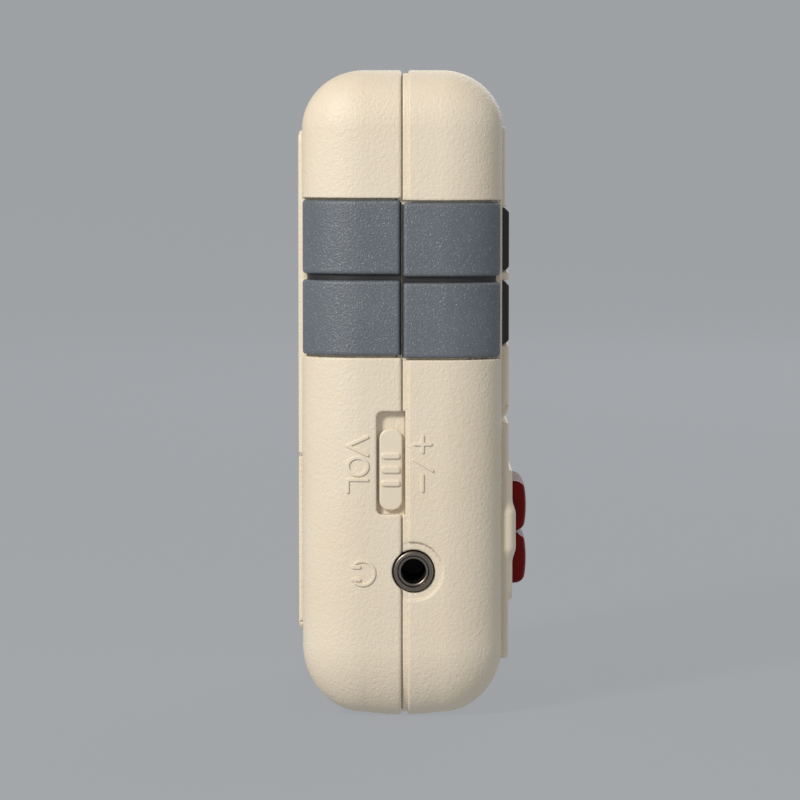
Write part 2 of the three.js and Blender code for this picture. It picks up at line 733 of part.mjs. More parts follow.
/** A ridged knob in a side recess, with a stem through the slot. */
function slideKnob(side, rise) {
  const ys = [slideMiddle - SLIDE.knobWidth / 2, slideMiddle + SLIDE.knobWidth / 2];
  const low = SLIDE.bottom + rise;
  const high = low + SLIDE.knobHeight;
  const across = (near, far) => [near, far].map((x) => side * x).sort((a, b) => a - b);
  const base = slideFloor + GAP;
  const top = HALF - SLIDE.below;
  const body = box(across(base, top - SLIDE.ridge), ys, [low, high]);
  const centre = (low + high) / 2;
  const ridges = Array.from({ length: SLIDE.ridges }, (_, ridge) => {
    const z = centre + (ridge - (SLIDE.ridges - 1) / 2) * SLIDE.ridgePitch;
    const zs = [z - SLIDE.ridgeWidth / 2, z + SLIDE.ridgeWidth / 2];
    return box(across(base, top), [ys[0] + GAP, ys[1] - GAP], zs);
  });
  const half = SLIDE.stem / 2;
  const stem = box(
    across(innerSide - GAP, base + GAP),
    [slideMiddle - half, slideMiddle + half],
    [centre - 2 * half, centre + 2 * half],
  );
  return join(body, ...ridges, stem);
}

/** The slide switch or potentiometer behind a side knob. */
function slideSwitch(side) {
  const outer = innerSide - 2 * GAP;
  const xs = [outer - SWITCH.depth, outer].map((x) => side * x).sort((a, b) => a - b);
  const ys = [slideMiddle - SWITCH.width / 2, slideMiddle + SWITCH.width / 2];
  return box(xs, ys, [SLIDE.bottom - SWITCH.margin, slideTop + SWITCH.margin]);
}

function jackSleeve() {
  return turned('x', [jackY, JACK.z], [
    [JACK.bore, -HALF + JACK.edge],
    [JACK.bore + JACK.chamfer, -HALF],
    [JACK.sleeve - JACK.edge, -HALF],
    [JACK.sleeve, -HALF + JACK.edge],
    [JACK.sleeve, -HALF + JACK.depth],
    [JACK.bore, -HALF + JACK.depth],
    [JACK.bore, -HALF + JACK.edge],
  ], 24);
}

function jackBody() {
  const half = JACK.body / 2;
  const block = box([jackBodyStart, jackBodyEnd], [jackY - half, jackY + half], [
    JACK.z - half,
    JACK.z + half,
  ]);
  return cut(block, rod('x', [jackY, JACK.z], [-FAR, jackBodyEnd - JACK.end], JACK.bore, 16));
}

function lamp() {
  const face = frontField - LAMP.proud;
  return rod('y', [LAMP.x, lampZ], [face, frontFace + LAMP.behind], LAMP.radius, 12);
}

// ---------------------------------------------------------------- batteries

const cellEnds = [CELL.offset - CELL.length / 2, CELL.offset + CELL.length / 2];

function batteryBay() {
  const xs = [-bayHalf, bayHalf];
  const rim = batteryPivot.y - BATTERY_DOOR.edge - BAY.underDoor;
  const block = box(xs, [bayFront, rim], [bayBottom, bayTop]);
  const room = box([xs[0] + BAY.wall, xs[1] - BAY.wall], [bayFront + BAY.wall, FAR], [
    bayBottom + BAY.wall,
    bayTop - BAY.wall,
  ]);
  return cut(block, room);
}

/** A round cell along x with its raised end to the left or right. */
function cell(row) {
  const [left, right] = cellEnds;
  const facing = row === 0 ? 1 : -1;
  const can = rod('x', [cellY, cellZ[row]], [
    facing > 0 ? left : left + CELL.nippleLength,
    facing > 0 ? right - CELL.nippleLength : right,
  ], CELL.radius, 20);
  return join(can, rod('x', [cellY, cellZ[row]], [left, right], CELL.nipple, 12));
}

function contactPlate(x) {
  const { half } = CONTACT;
  return box([x, x + CONTACT.thickness], [cellY - half, cellY + half], [
    cellZ[0] - half,
    cellZ[1] + half,
  ]);
}

/** The coil spring that presses on the flat end of a cell. */
function contactSpring(row) {
  class Coil extends THREE.Curve {
    getPoint(t, target = new THREE.Vector3()) {
      const angle = t * SPRING.turns * 4 * QUARTER;
      const radius = SPRING.radius - SPRING.taper * t;
      return target.set(
        cellEnds[1] + 2 * GAP + SPRING.length * (1 - t),
        cellY + radius * Math.cos(angle),
        cellZ[row] + radius * Math.sin(angle),
      );
    }
  }
  const section = new THREE.Shape();
  section.absarc(0, 0, SPRING.wire, 0, 4 * QUARTER);
  const settings = { steps: 28, bevelEnabled: false, extrudePath: new Coil(), curveSegments: 3 };
  return solid(new THREE.ExtrudeGeometry(section, settings));
}

// ---------------------------------------------------------------- tape mechanism

function chassisPlate() {
  const ys = [chassisFront, chassisRear];
  const top = cassetteTop + GAP;
  const sheet = box([-CHASSIS.halfWidth, CHASSIS.halfWidth], ys, [chassisBottom, top]);
  const pivotYs = [chassisFront - PINCH.pivotLength, chassisRear];
  const pivot = rod('y', [pinchPivot.x, pinchPivot.z], pivotYs, PINCH.pivot, 12);
  const holes = [-hubX, hubX].map((x) => rod('y', [x, hubZ], ys, SPINDLE.shaft + 2 * GAP, 14));
  const capstanHole = rod('y', [FLYWHEEL.x, flywheelZ], ys, FLYWHEEL.capstan + GAP, 12);
  return cut(join(sheet, pivot), ...holes, capstanHole);
}

/** The flywheel with the capstan that draws the tape. */
function flywheel() {
  const rear = beltFront + BELT.width + GAP;
  return turned('y', [FLYWHEEL.x, flywheelZ], [
    [0, cassetteFront + FLYWHEEL.tip],
    [FLYWHEEL.capstan, cassetteFront + FLYWHEEL.tip],
    [FLYWHEEL.capstan, wheelFront],
    [FLYWHEEL.radius, wheelFront],
    [FLYWHEEL.radius, wheelFront + FLYWHEEL.width],
    [FLYWHEEL.groove, wheelFront + FLYWHEEL.width],
    [FLYWHEEL.groove, rear],
    [0, rear],
  ], 28);
}

/** A reel spindle: a friction disc behind the chassis and a splined tip in the reel. */
function spindle(x) {
  const disc = turned('y', [x, hubZ], [
    [0, chassisFront - GAP],
    [SPINDLE.shaft, chassisFront - GAP],
    [SPINDLE.shaft, wheelFront],
    [frictionDisc, wheelFront],
    [frictionDisc, wheelFront + SPINDLE.discWidth],
    [0, wheelFront + SPINDLE.discWidth],
  ], 18);
  const star = new THREE.Shape();
  for (let point = 0; point < 2 * SPINDLE.splines; point += 1) {
    const radius = point % 2 ? SPINDLE.valley : SPINDLE.tip;
    const angle = (point / SPINDLE.splines) * 2 * QUARTER;
    const at = [x + radius * Math.cos(angle), hubZ + radius * Math.sin(angle)];
    if (point === 0) star.moveTo(...at);
    else star.lineTo(...at);
  }
  return join(disc, plate(star, [cassetteFront + SPINDLE.tipStart, chassisFront - GAP + TOUCH]));
}

function reel(x, pack) {
  const middle = (cassetteFront + cassetteRear) / 2;
  const hub = CASSETTE.depth / 2 - CASSETTE.wall - 2 * GAP;
  const tape = REEL.tape / 2;
  return turned('y', [x, hubZ], [
    [REEL.bore, middle - hub],
    [REEL.hub, middle - hub],
    [REEL.hub, middle - tape],
    [pack, middle - tape],
    [pack, middle + tape],
    [REEL.hub, middle + tape],
    [REEL.hub, middle + hub],
    [REEL.bore, middle + hub],
    [REEL.bore, middle - hub],
  ], 24);
}

function cassetteShell() {
  const half = CASSETTE.width / 2;
  const { wall } = CASSETTE;
  const outline = rectangle([-half, half], [cassetteBottom, cassetteTop], CASSETTE.corner);
  const body = plate(outline, [cassetteFront, cassetteRear], 2);
  const room = box([-half + wall, half - wall], [cassetteFront + wall, cassetteRear - wall], [
    cassetteBottom + wall,
    cassetteTop - wall,
  ]);
  const hubs = [-hubX, hubX].map((x) => rod('y', [x, hubZ], [-FAR, 0], REEL.opening, 16));
  const mouth = (left, right, height) => {
    return box([left, right], [cassetteFront + MOUTH.skin, 0], [0, cassetteBottom + height]);
  };
  const headHalf = HEAD.playbackWidth / 2 + MOUTH.side;
  const eraseHalf = HEAD.eraseWidth / 2 + MOUTH.side;
  const rollerHalf = PINCH.roller + MOUTH.side;
  return cut(
    body,
    room,
    ...hubs,
    mouth(-headHalf, headHalf, MOUTH.height),
    mouth(HEAD.eraseX - eraseHalf, HEAD.eraseX + eraseHalf, MOUTH.height),
    mouth(PINCH.rollerX - rollerHalf, PINCH.rollerX + rollerHalf, MOUTH.rollerHeight),
  );
}

function motor() {
  const front = beltFront + BELT.width + MOTOR.behindBelt;
  return rod('y', [MOTOR.x, motorZ], [front, rearFace - CASE.wall - MOTOR.room], MOTOR.radius, 24);
}

function motorPulley() {
  const front = beltFront - GAP;
  const rear = beltFront + BELT.width + GAP;
  return turned('y', [MOTOR.x, motorZ], [
    [0, front - MOTOR.flangeWidth],
    [MOTOR.flange, front - MOTOR.flangeWidth],
    [MOTOR.pulley, front],
    [MOTOR.pulley, rear],
    [0, rear],
  ], 14);
}

/** The loop of belt round the flywheel and the motor pulley. */
function driveBelt() {
  const large = { x: FLYWHEEL.x, z: flywheelZ, radius: FLYWHEEL.groove + GAP };
  const small = { x: MOTOR.x, z: motorZ, radius: MOTOR.pulley + GAP };
  const span = Math.hypot(small.x - large.x, small.z - large.z);
  const heading = Math.atan2(small.z - large.z, small.x - large.x);
  const loop = (path, extra) => {
    const contact = Math.acos((large.radius - small.radius) / span);
    path.absarc(large.x, large.z, large.radius + extra, heading + contact, heading - contact + 4 * QUARTER);
    path.absarc(small.x, small.z, small.radius + extra, heading - contact, heading + contact);
    return path;
  };
  const shape = loop(new THREE.Shape(), BELT.thickness);
  shape.holes.push(loop(new THREE.Path(), 0));
  return plate(shape, [beltFront, beltFront + BELT.width], 12);
}

function headPlate() {
  const zs = [headPlateBottom, headPlateBottom + HEAD_PLATE.height];
  const outline = rectangle([HEAD_PLATE.left, HEAD_PLATE.right], zs, HEAD_PLATE.corner);
  return plate(outline, [headPlateFront, chassisFront - GAP], 2);
}

/** A magnetic head with a rounded nose that meets the tape. */
function head(x, width) {
  const low = headPlateBottom + HEAD.rise;
  const outline = rectangle([x - width / 2, x + width / 2], [low, low + HEAD.height], 0, width / 3);
  const rear = headPlateFront - GAP;
  return plate(outline, [rear - HEAD.depth, rear], 4);
}

function pinchArm() {
  const ys = [headPlateFront, chassisFront - GAP];
  const pivot = [pinchPivot.x, pinchPivot.z];
  const strip = plate(link(pinchPivot, axleCentre, PINCH.arm), ys, 5);
  const eye = rod('y', pivot, ys, PINCH.eye, 14);
  const axleFront = headPlateFront - PINCH.width - PINCH.axleEnd;
  const axle = rod('y', [axleCentre.x, axleCentre.z], [axleFront, ys[1]], PINCH.axle, 10);
  return cut(join(strip, eye, axle), rod('y', pivot, everywhere, PINCH.pivot + GAP, 12));
}

function pinchRoller() {
  const rear = headPlateFront - GAP;
  const front = rear - PINCH.width;
  const bore = PINCH.axle + GAP;
  return turned('y', [axleCentre.x, axleCentre.z], [
    [bore, front],
    [PINCH.roller, front],
    [PINCH.roller, rear],
    [bore, rear],
    [bore, front],
  ], 18);
}

// ---------------------------------------------------------------- electronics and fasteners

function mainBoard() {
  const ys = [BOARD.mainY, BOARD.mainY + BOARD.thickness];
  const sheet = box([-boardHalf, boardHalf], ys, [boardBottom, BOARD.mainTop]);
  const seat = ys[1] - CHIP.overlap;
  const chips = CHIPS.map(({ x, z, width, height }) => {
    const xs = [x - width / 2, x + width / 2];
    return box(xs, [seat, ys[1] + CHIP.thickness], [z - height / 2, z + height / 2]);
  });
  const cans = CAPACITORS.map(({ x, z }) => {
    return rod('y', [x, z], [seat, ys[1] + CAPACITOR.height], CAPACITOR.radius, 12);
  });
  return join(sheet, ...chips, ...cans);
}

/** The board behind the keys, notched round the body of the earphone socket. */
function keyBoard() {
  const { keyY, thickness, keyBottom, keyEdge } = BOARD;
  const xs = [-FRONT.halfWidth + keyEdge, FRONT.halfWidth];
  const sheet = box(xs, [keyY, keyY + thickness], [keyBottom, chassisBottom - keyEdge]);
  const x = (KEY.left + keyRight) / 2;
  const domes = [0, 1].map((index) => {
    const z = KEY.bottom + (index + 0.5) * KEY.height;
    return rod('y', [x, z], [keyY - DOME.height, keyY + CHIP.overlap], DOME.radius, 12);
  });
  const reach = JACK.body / 2 + 2 * GAP;
  const notch = box([-FAR, jackBodyEnd + 2 * GAP], everywhere, [JACK.z - reach, JACK.z + reach]);
  return join(cut(sheet, notch), ...domes);
}

function speaker() {
  const front = frontFace + CASE.wall + GAP;
  return turned('y', [SPEAKER.x, padMiddle], [
    [0, front + SPEAKER.cone],
    [SPEAKER.radius - SPEAKER.rim, front],
    [SPEAKER.radius, front],
    [SPEAKER.radius, front + SPEAKER.rim],
    [SPEAKER.magnet, front + SPEAKER.rim + SPEAKER.cone],
    [SPEAKER.magnet, front + SPEAKER.depth],
    [0, front + SPEAKER.depth],
  ], 24);
}

function microphone() {
  const top = CASE.height - MICROPHONE.belowTop;
  return rod('z', [MICROPHONE.x, microphoneY], [top - MICROPHONE.height, top], MICROPHONE.radius, 16);
}

function caseScrew(x) {
  const outer = rearField - GAP;
  const slot = (halfX, halfZ) => {
    const ys = [outer - SCREW.slotDepth, FAR];
    return box([x - halfX, x + halfX], ys, [screwZ - halfZ, screwZ + halfZ]);
  };
  const body = turned('y', [x, screwZ], [
    [0, -SCREW.reach],
    [SCREW.shank, -SCREW.reach],
    [SCREW.shank, outer - SCREW.headHeight],
    [SCREW.head, outer - SCREW.headHeight],
    [SCREW.head, outer - SCREW.rim],
    [SCREW.head - SCREW.slotWidth, outer],
    [0, outer],
  ], 14);
  return cut(body, slot(SCREW.slotHalf, SCREW.slotWidth / 2), slot(SCREW.slotWidth / 2, SCREW.slotHalf));
}

// ---------------------------------------------------------------- assembly

piece('front_shell', frontShell(), cream());
piece('rear_shell', rearShell(), cream());
for (const [level, upper] of [['upper', true], ['lower', false]]) {
  for (const [half, front] of [['front', true], ['rear', false]]) {
    for (const [hand, side] of [['left', -1], ['right', 1]]) {
      piece(`grip_${level}_${half}_${hand}`, grip(upper, front, side), grey());
    }
  }
}
piece('front_panel', frontPanel(), cream());
piece('cassette_door', cassetteDoor(), cream());
piece('window_lower', windowPane(0), smoked());
piece('window_upper', windowPane(1), smoked());
piece('cassette_door_pin', hingePin(FRONT.halfWidth, doorPivot), steel());
piece('battery_door', batteryDoor(), cream());
piece('battery_door_pin', hingePin(REAR.halfWidth, batteryPivot), steel());
piece('play_key', key(0), red());
piece('record_key', key(1), red());
piece('volume_knob', slideKnob(-1, SLIDE.knobRise), cream());
piece('volume_potentiometer', slideSwitch(-1), blackPlastic());
piece('wind_knob', slideKnob(1, WIND_REST), cream());
piece('wind_switch', slideSwitch(1), blackPlastic());
piece('earphone_socket_sleeve', jackSleeve(), nickel());
piece('earphone_socket_body', jackBody(), blackPlastic());
piece('record_lamp', lamp(), red());
piece('battery_bay', batteryBay(), blackPlastic());
piece('battery_lower', cell(0), white());
piece('battery_upper', cell(1), white());
piece('battery_contact_left', contactPlate(cellEnds[0] - GAP - CONTACT.thickness), brass());
piece('battery_contact_right', contactPlate(cellEnds[1] + 3 * GAP + SPRING.length + SPRING.wire), brass());
piece('battery_spring_lower', contactSpring(0), steel());
piece('battery_spring_upper', contactSpring(1), steel());
piece('chassis_plate', chassisPlate(), steel());
piece('flywheel_capstan', flywheel(), brass());
piece('takeup_spindle', spindle(hubX), white());
piece('supply_spindle', spindle(-hubX), white());
piece('takeup_reel', reel(hubX, REEL.startedPack), brown());
piece('supply_reel', reel(-hubX, REEL.fullPack), brown());
piece('cassette_shell', cassetteShell(), white());
piece('motor', motor(), steel());
piece('motor_pulley', motorPulley(), brass());
piece('drive_belt', driveBelt(), rubber());
piece('head_plate', headPlate(), steel());
piece('playback_head', head(0, HEAD.playbackWidth), nickel());
piece('erase_head', head(HEAD.eraseX, HEAD.eraseWidth), blackPlastic());
piece('pinch_arm', pinchArm(), steel());
piece('pinch_roller', pinchRoller(), rubber());
piece('main_board', mainBoard(), green());
piece('key_board', keyBoard(), green());
piece('speaker', speaker(), blackPlastic());
piece('microphone', microphone(), nickel());
piece('case_screw_left', caseScrew(-SCREW.x), steel());
piece('case_screw_right', caseScrew(SCREW.x), steel());

// The origin goes to the middle of the bottom of the whole machine.
machine.position.y = (CASE.frontDepth + KEY.proud - rearField) / 2;
machine.updateMatrixWorld(true);

export default machine;
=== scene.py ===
import math

import bmesh
import bpy
import numpy as np
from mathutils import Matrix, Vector


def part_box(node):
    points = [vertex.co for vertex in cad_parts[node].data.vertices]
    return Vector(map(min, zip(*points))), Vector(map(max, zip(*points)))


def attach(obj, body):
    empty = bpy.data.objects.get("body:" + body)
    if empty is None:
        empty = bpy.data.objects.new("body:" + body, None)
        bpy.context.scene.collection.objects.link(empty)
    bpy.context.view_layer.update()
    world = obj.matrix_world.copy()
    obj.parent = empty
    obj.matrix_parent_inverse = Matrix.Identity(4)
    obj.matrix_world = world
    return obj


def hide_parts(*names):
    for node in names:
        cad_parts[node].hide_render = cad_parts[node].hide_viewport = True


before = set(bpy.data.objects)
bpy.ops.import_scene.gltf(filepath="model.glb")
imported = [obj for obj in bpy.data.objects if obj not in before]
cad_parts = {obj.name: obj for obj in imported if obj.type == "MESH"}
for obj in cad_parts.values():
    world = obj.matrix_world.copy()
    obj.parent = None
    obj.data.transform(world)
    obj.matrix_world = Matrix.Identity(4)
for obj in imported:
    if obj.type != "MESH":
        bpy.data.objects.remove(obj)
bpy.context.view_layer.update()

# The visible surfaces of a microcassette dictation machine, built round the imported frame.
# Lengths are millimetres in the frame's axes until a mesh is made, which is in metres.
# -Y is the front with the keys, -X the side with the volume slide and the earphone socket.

MM = 0.001


def span(node):
    """Lowest and highest corner of a CAD node, in millimetres."""
    low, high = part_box(node)
    return np.array(low) / MM, np.array(high) / MM


def centre_of(node):
    low, high = span(node)
    return (low + high) / 2


# ---------------------------------------------------------------- sizes from the frame

HALF, _, HEIGHT = span("rear_shell")[1]
JOINT = span("front_shell")[1][1]
pane_low, pane_high = span("window_upper")
lower_pane_low, lower_pane_high = span("window_lower")
door_low, door_high = span("cassette_door")
battery_low, battery_high = span("battery_door")
panel_low, panel_high = span("front_panel")
FRONT_FIELD = pane_low[1]
REAR_FIELD = battery_high[1]
FRONT_PROUD = 0.9
REAR_PROUD = 0.6
FRONT_FACE = FRONT_FIELD + FRONT_PROUD
REAR_FACE = REAR_FIELD - REAR_PROUD

WALL = 2.0
CORNER_X = 6.5
CORNER_Y = 9.3
CORNER_TOP = 8.8
CORNER_BOTTOM = 10.5
BOTTOM_CROWN = 0.4
CROWN_REACH = 5.5  # how far from the joint the bottom's crown falls away
GAP = 0.3
LIP_WIDTH = 0.9
LIP_DEPTH = 0.45
JOINT_GAP = 0.12
TONGUE = {"from": 0.95, "to": 1.8, "reach": 0.85}  # on the front half, under the rear half's edge
FAR = 400.0
MARGIN = 0.6  # how far a sampling grid reaches past its piece

socket_low, socket_high = span("earphone_socket_sleeve")
SOCKET = centre_of("earphone_socket_sleeve")[1:]
SOCKET_RADIUS = (socket_high[1] - socket_low[1]) / 2 - 0.15

# ---------------------------------------------------------------- distance fields


def smooth_max(a, b, soft):
    """The larger of two fields, with the crease rounded over the width soft."""
    blend = np.maximum(soft - np.abs(a - b), 0) / soft
    return np.maximum(a, b) + blend * blend * soft * 0.25


def smooth_min(a, b, soft):
    return -smooth_max(-a, -b, soft)


def cut(body, tool, soft=0.3):
    return smooth_max(body, -tool, soft)


def box_field(p, low, high, radius):
    """A box with all its edges rounded."""
    low, high = np.asarray(low, float), np.asarray(high, float)
    q = np.abs(p - (low + high) / 2) - ((high - low) / 2 - radius)
    return np.linalg.norm(np.maximum(q, 0), axis=1) + np.minimum(q.max(axis=1), 0) - radius


def combine(across, along, edge):
    """A prism from the field of its outline and of its length, with rounded rims."""
    a, b = across + edge, along + edge
    outside = np.hypot(np.maximum(a, 0), np.maximum(b, 0))
    return outside + np.minimum(np.maximum(a, b), 0) - edge


def prism_field(p, axis, low, high, corner, edge):
    """A block whose outline across an axis has round corners."""
    low, high = np.asarray(low, float), np.asarray(high, float)
    others = [i for i in range(3) if i != axis]
    q = np.abs(p[:, others] - (low + high)[others] / 2) - ((high - low)[others] / 2 - corner)
    across = np.linalg.norm(np.maximum(q, 0), axis=1) + np.minimum(q.max(axis=1), 0) - corner
    along = np.abs(p[:, axis] - (low[axis] + high[axis]) / 2) - (high[axis] - low[axis]) / 2
    return combine(across, along, edge)


def disc_field(p, axis, centre, low, high, radius, edge=0.1):
    """A round bar along an axis; centre is given on the other two axes, in order."""
    others = [i for i in range(3) if i != axis]
    across = np.hypot(p[:, others[0]] - centre[0], p[:, others[1]] - centre[1]) - radius
    along = np.abs(p[:, axis] - (low + high) / 2) - (high - low) / 2
    return combine(across, along, edge)


def segment_field(a, b, start, end):
    """Distance in a plane to a stroke from start to end."""
    start, end = np.array(start, float), np.array(end, float)
    line = end - start
    share = ((a - start[0]) * line[0] + (b - start[1]) * line[1]) / (line @ line)
    share = np.clip(share, 0, 1)
    return np.hypot(a - start[0] - share * line[0], b - start[1] - share * line[1])


def case_field(p, inset=0.0):
    """The outer form of the case, moved inwards: flats joined by elliptical corners."""
    x, y, z = p.T
    drop = BOTTOM_CROWN * np.minimum(((y - JOINT) / CROWN_REACH) ** 2, 1) * (z < HEIGHT / 2)
    core_front = FRONT_FACE + CORNER_Y
    core_rear = REAR_FACE - CORNER_Y
    q = np.stack([
        np.abs(x) - (HALF - CORNER_X),
        np.maximum(core_front - y, y - core_rear),
        np.maximum(CORNER_BOTTOM - (z - drop), z - (HEIGHT - CORNER_TOP)),
    ])
    tall = np.where(z < HEIGHT / 2, CORNER_BOTTOM, CORNER_TOP) - inset
    radii = np.stack([
        np.full_like(x, CORNER_X - inset),
        np.full_like(x, CORNER_Y - inset),
        tall,
    ])
    scaled = np.maximum(q, 0) / radii
    k0 = np.sqrt((scaled**2).sum(axis=0))
    k1 = np.sqrt(((scaled / radii) ** 2).sum(axis=0))
    rounded = k0 * (k0 - 1) / np.maximum(k1, 1e-9)
    flat = (q - radii).max(axis=0)
    return np.where(k0 > 0.02, rounded, flat)


# ---------------------------------------------------------------- surfaces from fields


def grid_lines(low, high, coarse, spots=()):
    """Sample places along an axis: coarse, and finer round each (low, high, step) stretch."""
    places = [low]
    while places[-1] < high:
        here = places[-1]
        step = coarse
        for start, end, fine in spots:
            away = max(start - here - coarse, here - end, 0)
            step = min(step, fine + 0.3 * away)
        places.append(here + step)
    return np.array(places)


def near(place, reach, step):
    """A stretch of finer grid that reaches as far to both sides of a place."""
    return place - reach, place + reach, step


def grid_axes(low, high, coarse, spots):
    """Sample places on the three axes, from a margin below low to a margin above high."""
    return [grid_lines(a - MARGIN, b + MARGIN, step, fine)
            for a, b, step, fine in zip(low, high, coarse, spots)]


def sample(field, axes):
    shape = [len(axis) for axis in axes]
    values = np.empty(shape, np.float32)
    yy, zz = np.meshgrid(axes[1], axes[2], indexing="ij")
    flat = np.stack([np.zeros(yy.size), yy.ravel(), zz.ravel()], axis=1)
    for index, x in enumerate(axes[0]):
        flat[:, 0] = x
        values[index] = field(flat).reshape(shape[1:])
    return values


def net(values, axes):
    """Vertices and quads of the zero surface of a sampled field, one vertex for each cell crossed."""
    inside = values < 0
    size = np.array(values.shape) - 1
    corners = [(i, j, k) for i in (0, 1) for j in (0, 1) for k in (0, 1)]
    count = np.zeros(size, np.int8)
    for i, j, k in corners:
        count += inside[i:size[0] + i, j:size[1] + j, k:size[2] + k]
    cells = np.argwhere((count > 0) & (count < 8))
    ids = np.full(size, -1, np.int64)
    ids[tuple(cells.T)] = np.arange(len(cells))
    levels, spots = [], []
    for corner in corners:
        at = cells + np.array(corner)
        levels.append(values[tuple(at.T)].astype(float))
        spots.append(np.stack([axes[d][at[:, d]] for d in range(3)], axis=1))
    total = np.zeros((len(cells), 3))
    hits = np.zeros(len(cells))
    for a in range(8):
        for d in range(3):
            if corners[a][d]:
                continue
            b = a + (4, 2, 1)[d]
            crossing = (levels[a] < 0) != (levels[b] < 0)
            share = levels[a] / np.where(crossing, levels[a] - levels[b], 1)
            point = spots[a] + share[:, None] * (spots[b] - spots[a])
            total[crossing] += point[crossing]
            hits += crossing
    vertices = total / hits[:, None]
    quads = []
    for axis in range(3):
        first, second = (axis + 1) % 3, (axis + 2) % 3
        lower = np.take(inside, range(size[axis]), axis)
        upper = np.take(inside, range(1, size[axis] + 1), axis)
        edges = np.argwhere(lower != upper)
        keep = np.ones(len(edges), bool)
        for d in (first, second):
            keep &= (edges[:, d] > 0) & (edges[:, d] < size[d])
        edges = edges[keep]
        back_first, back_second = np.zeros(3, int), np.zeros(3, int)
        back_first[first] = 1
        back_second[second] = 1
        quad = np.stack([
            ids[tuple((edges - back_first - back_second).T)],
            ids[tuple((edges - back_second).T)],
            ids[tuple(edges.T)],
            ids[tuple((edges - back_first).T)],
        ], axis=1)
        outward = lower[tuple(edges.T)]
        quads.append(np.where(outward[:, None], quad, quad[:, ::-1]))
    return vertices, np.concatenate(quads)


def slope(field, points, reach=0.02):
    """The gradient of a field at some points."""
    result = np.empty_like(points)
    for d in range(3):
        step = np.zeros(3)
        step[d] = reach
        result[:, d] = (field(points + step) - field(points - step)) / (2 * reach)
    return result


def settle(field, points, rounds=3, most=0.25):
    """Moves points onto the zero surface of a field, along its slope."""
    for _ in range(rounds):
        lean = slope(field, points)
        size = np.maximum((lean**2).sum(axis=1), 1e-4)
        move = np.clip(field(points) / size, -most, most)
        points = points - move[:, None] * lean
    return points


def add_object(name, data):
    made = bpy.data.objects.new(name, data)
    bpy.context.scene.collection.objects.link(made)
    return made


def make_mesh(name, vertices, faces):
    """A mesh in metres from vertices in millimetres."""
    mesh = bpy.data.meshes.new(name)
    mesh.from_pydata((np.asarray(vertices) * MM).tolist(), [], faces)
    return mesh


def skin(name, field, axes):
    """A piece whose surface is where a field is zero."""
    vertices, quads = net(sample(field, axes), axes)
    vertices = settle(field, vertices)
    normals = slope(field, vertices)
    normals /= np.maximum(np.linalg.norm(normals, axis=1), 1e-9)[:, None]
    mesh = make_mesh(name, vertices, quads.tolist())
    mesh.polygons.foreach_set("use_smooth", [True] * len(mesh.polygons))
    mesh.normals_split_custom_set_from_vertices(normals.tolist())
    return add_object(name, mesh)


def finish_piece(piece, material, slot, body, *nodes):
    """Gives a piece its material, its body and the nodes it stands for; the slot argument is not used.
    """
    piece.data.materials.append(material)
    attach(piece, body)
    if nodes:
        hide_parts(*nodes)
    return piece


def turned(name, axis, centre, profile, sides=64):
    """A closed turned piece from (radius, distance) points that start and end on the axis or meet."""
    profile = np.array(profile, float)
    closed = np.allclose(profile[0], profile[-1])
    rings = profile[:-1] if closed else profile
    angles = np.arange(sides) / sides * 2 * math.pi
    others = [i for i in range(3) if i != axis]
    points, index = [], []
    for radius, along in rings:
        row = []
        for angle in angles if radius > 1e-6 else [0.0]:
            point = np.zeros(3)
            point[axis] = along
            point[others[0]] = centre[0] + radius * math.cos(angle)
            point[others[1]] = centre[1] + radius * math.sin(angle)
            row.append(len(points))
            points.append(point)
        index.append(row)
    faces = []
    pairs = list(zip(index, index[1:] + index[:1])) if closed else list(zip(index, index[1:]))
    for here, there in pairs:
        for s in range(sides):
            t = (s + 1) % sides
            if len(here) == 1 and len(there) == 1:
                continue
            if len(here) == 1:
                faces.append([here[0], there[t], there[s]])
            elif len(there) == 1:
                faces.append([here[s], here[t], there[0]])
            else:
                faces.append([here[s], here[t], there[t], there[s]])
    piece = add_object(name, make_mesh(name, points, faces))
    correct_normals(piece)
    return piece


SHARP_ANGLE = math.radians(38)


def correct_normals(piece):
    """Faces outwards, smooth except across sharp edges."""
    grid = bmesh.new()
    grid.from_mesh(piece.data)
    bmesh.ops.recalc_face_normals(grid, faces=grid.faces)
    for face in grid.faces:
        face.smooth = True
    for edge in grid.edges:
        if len(edge.link_faces) == 2 and edge.calc_face_angle(0) > SHARP_ANGLE:
            edge.smooth = False
    grid.to_mesh(piece.data)
    grid.free()


# ---------------------------------------------------------------- materials


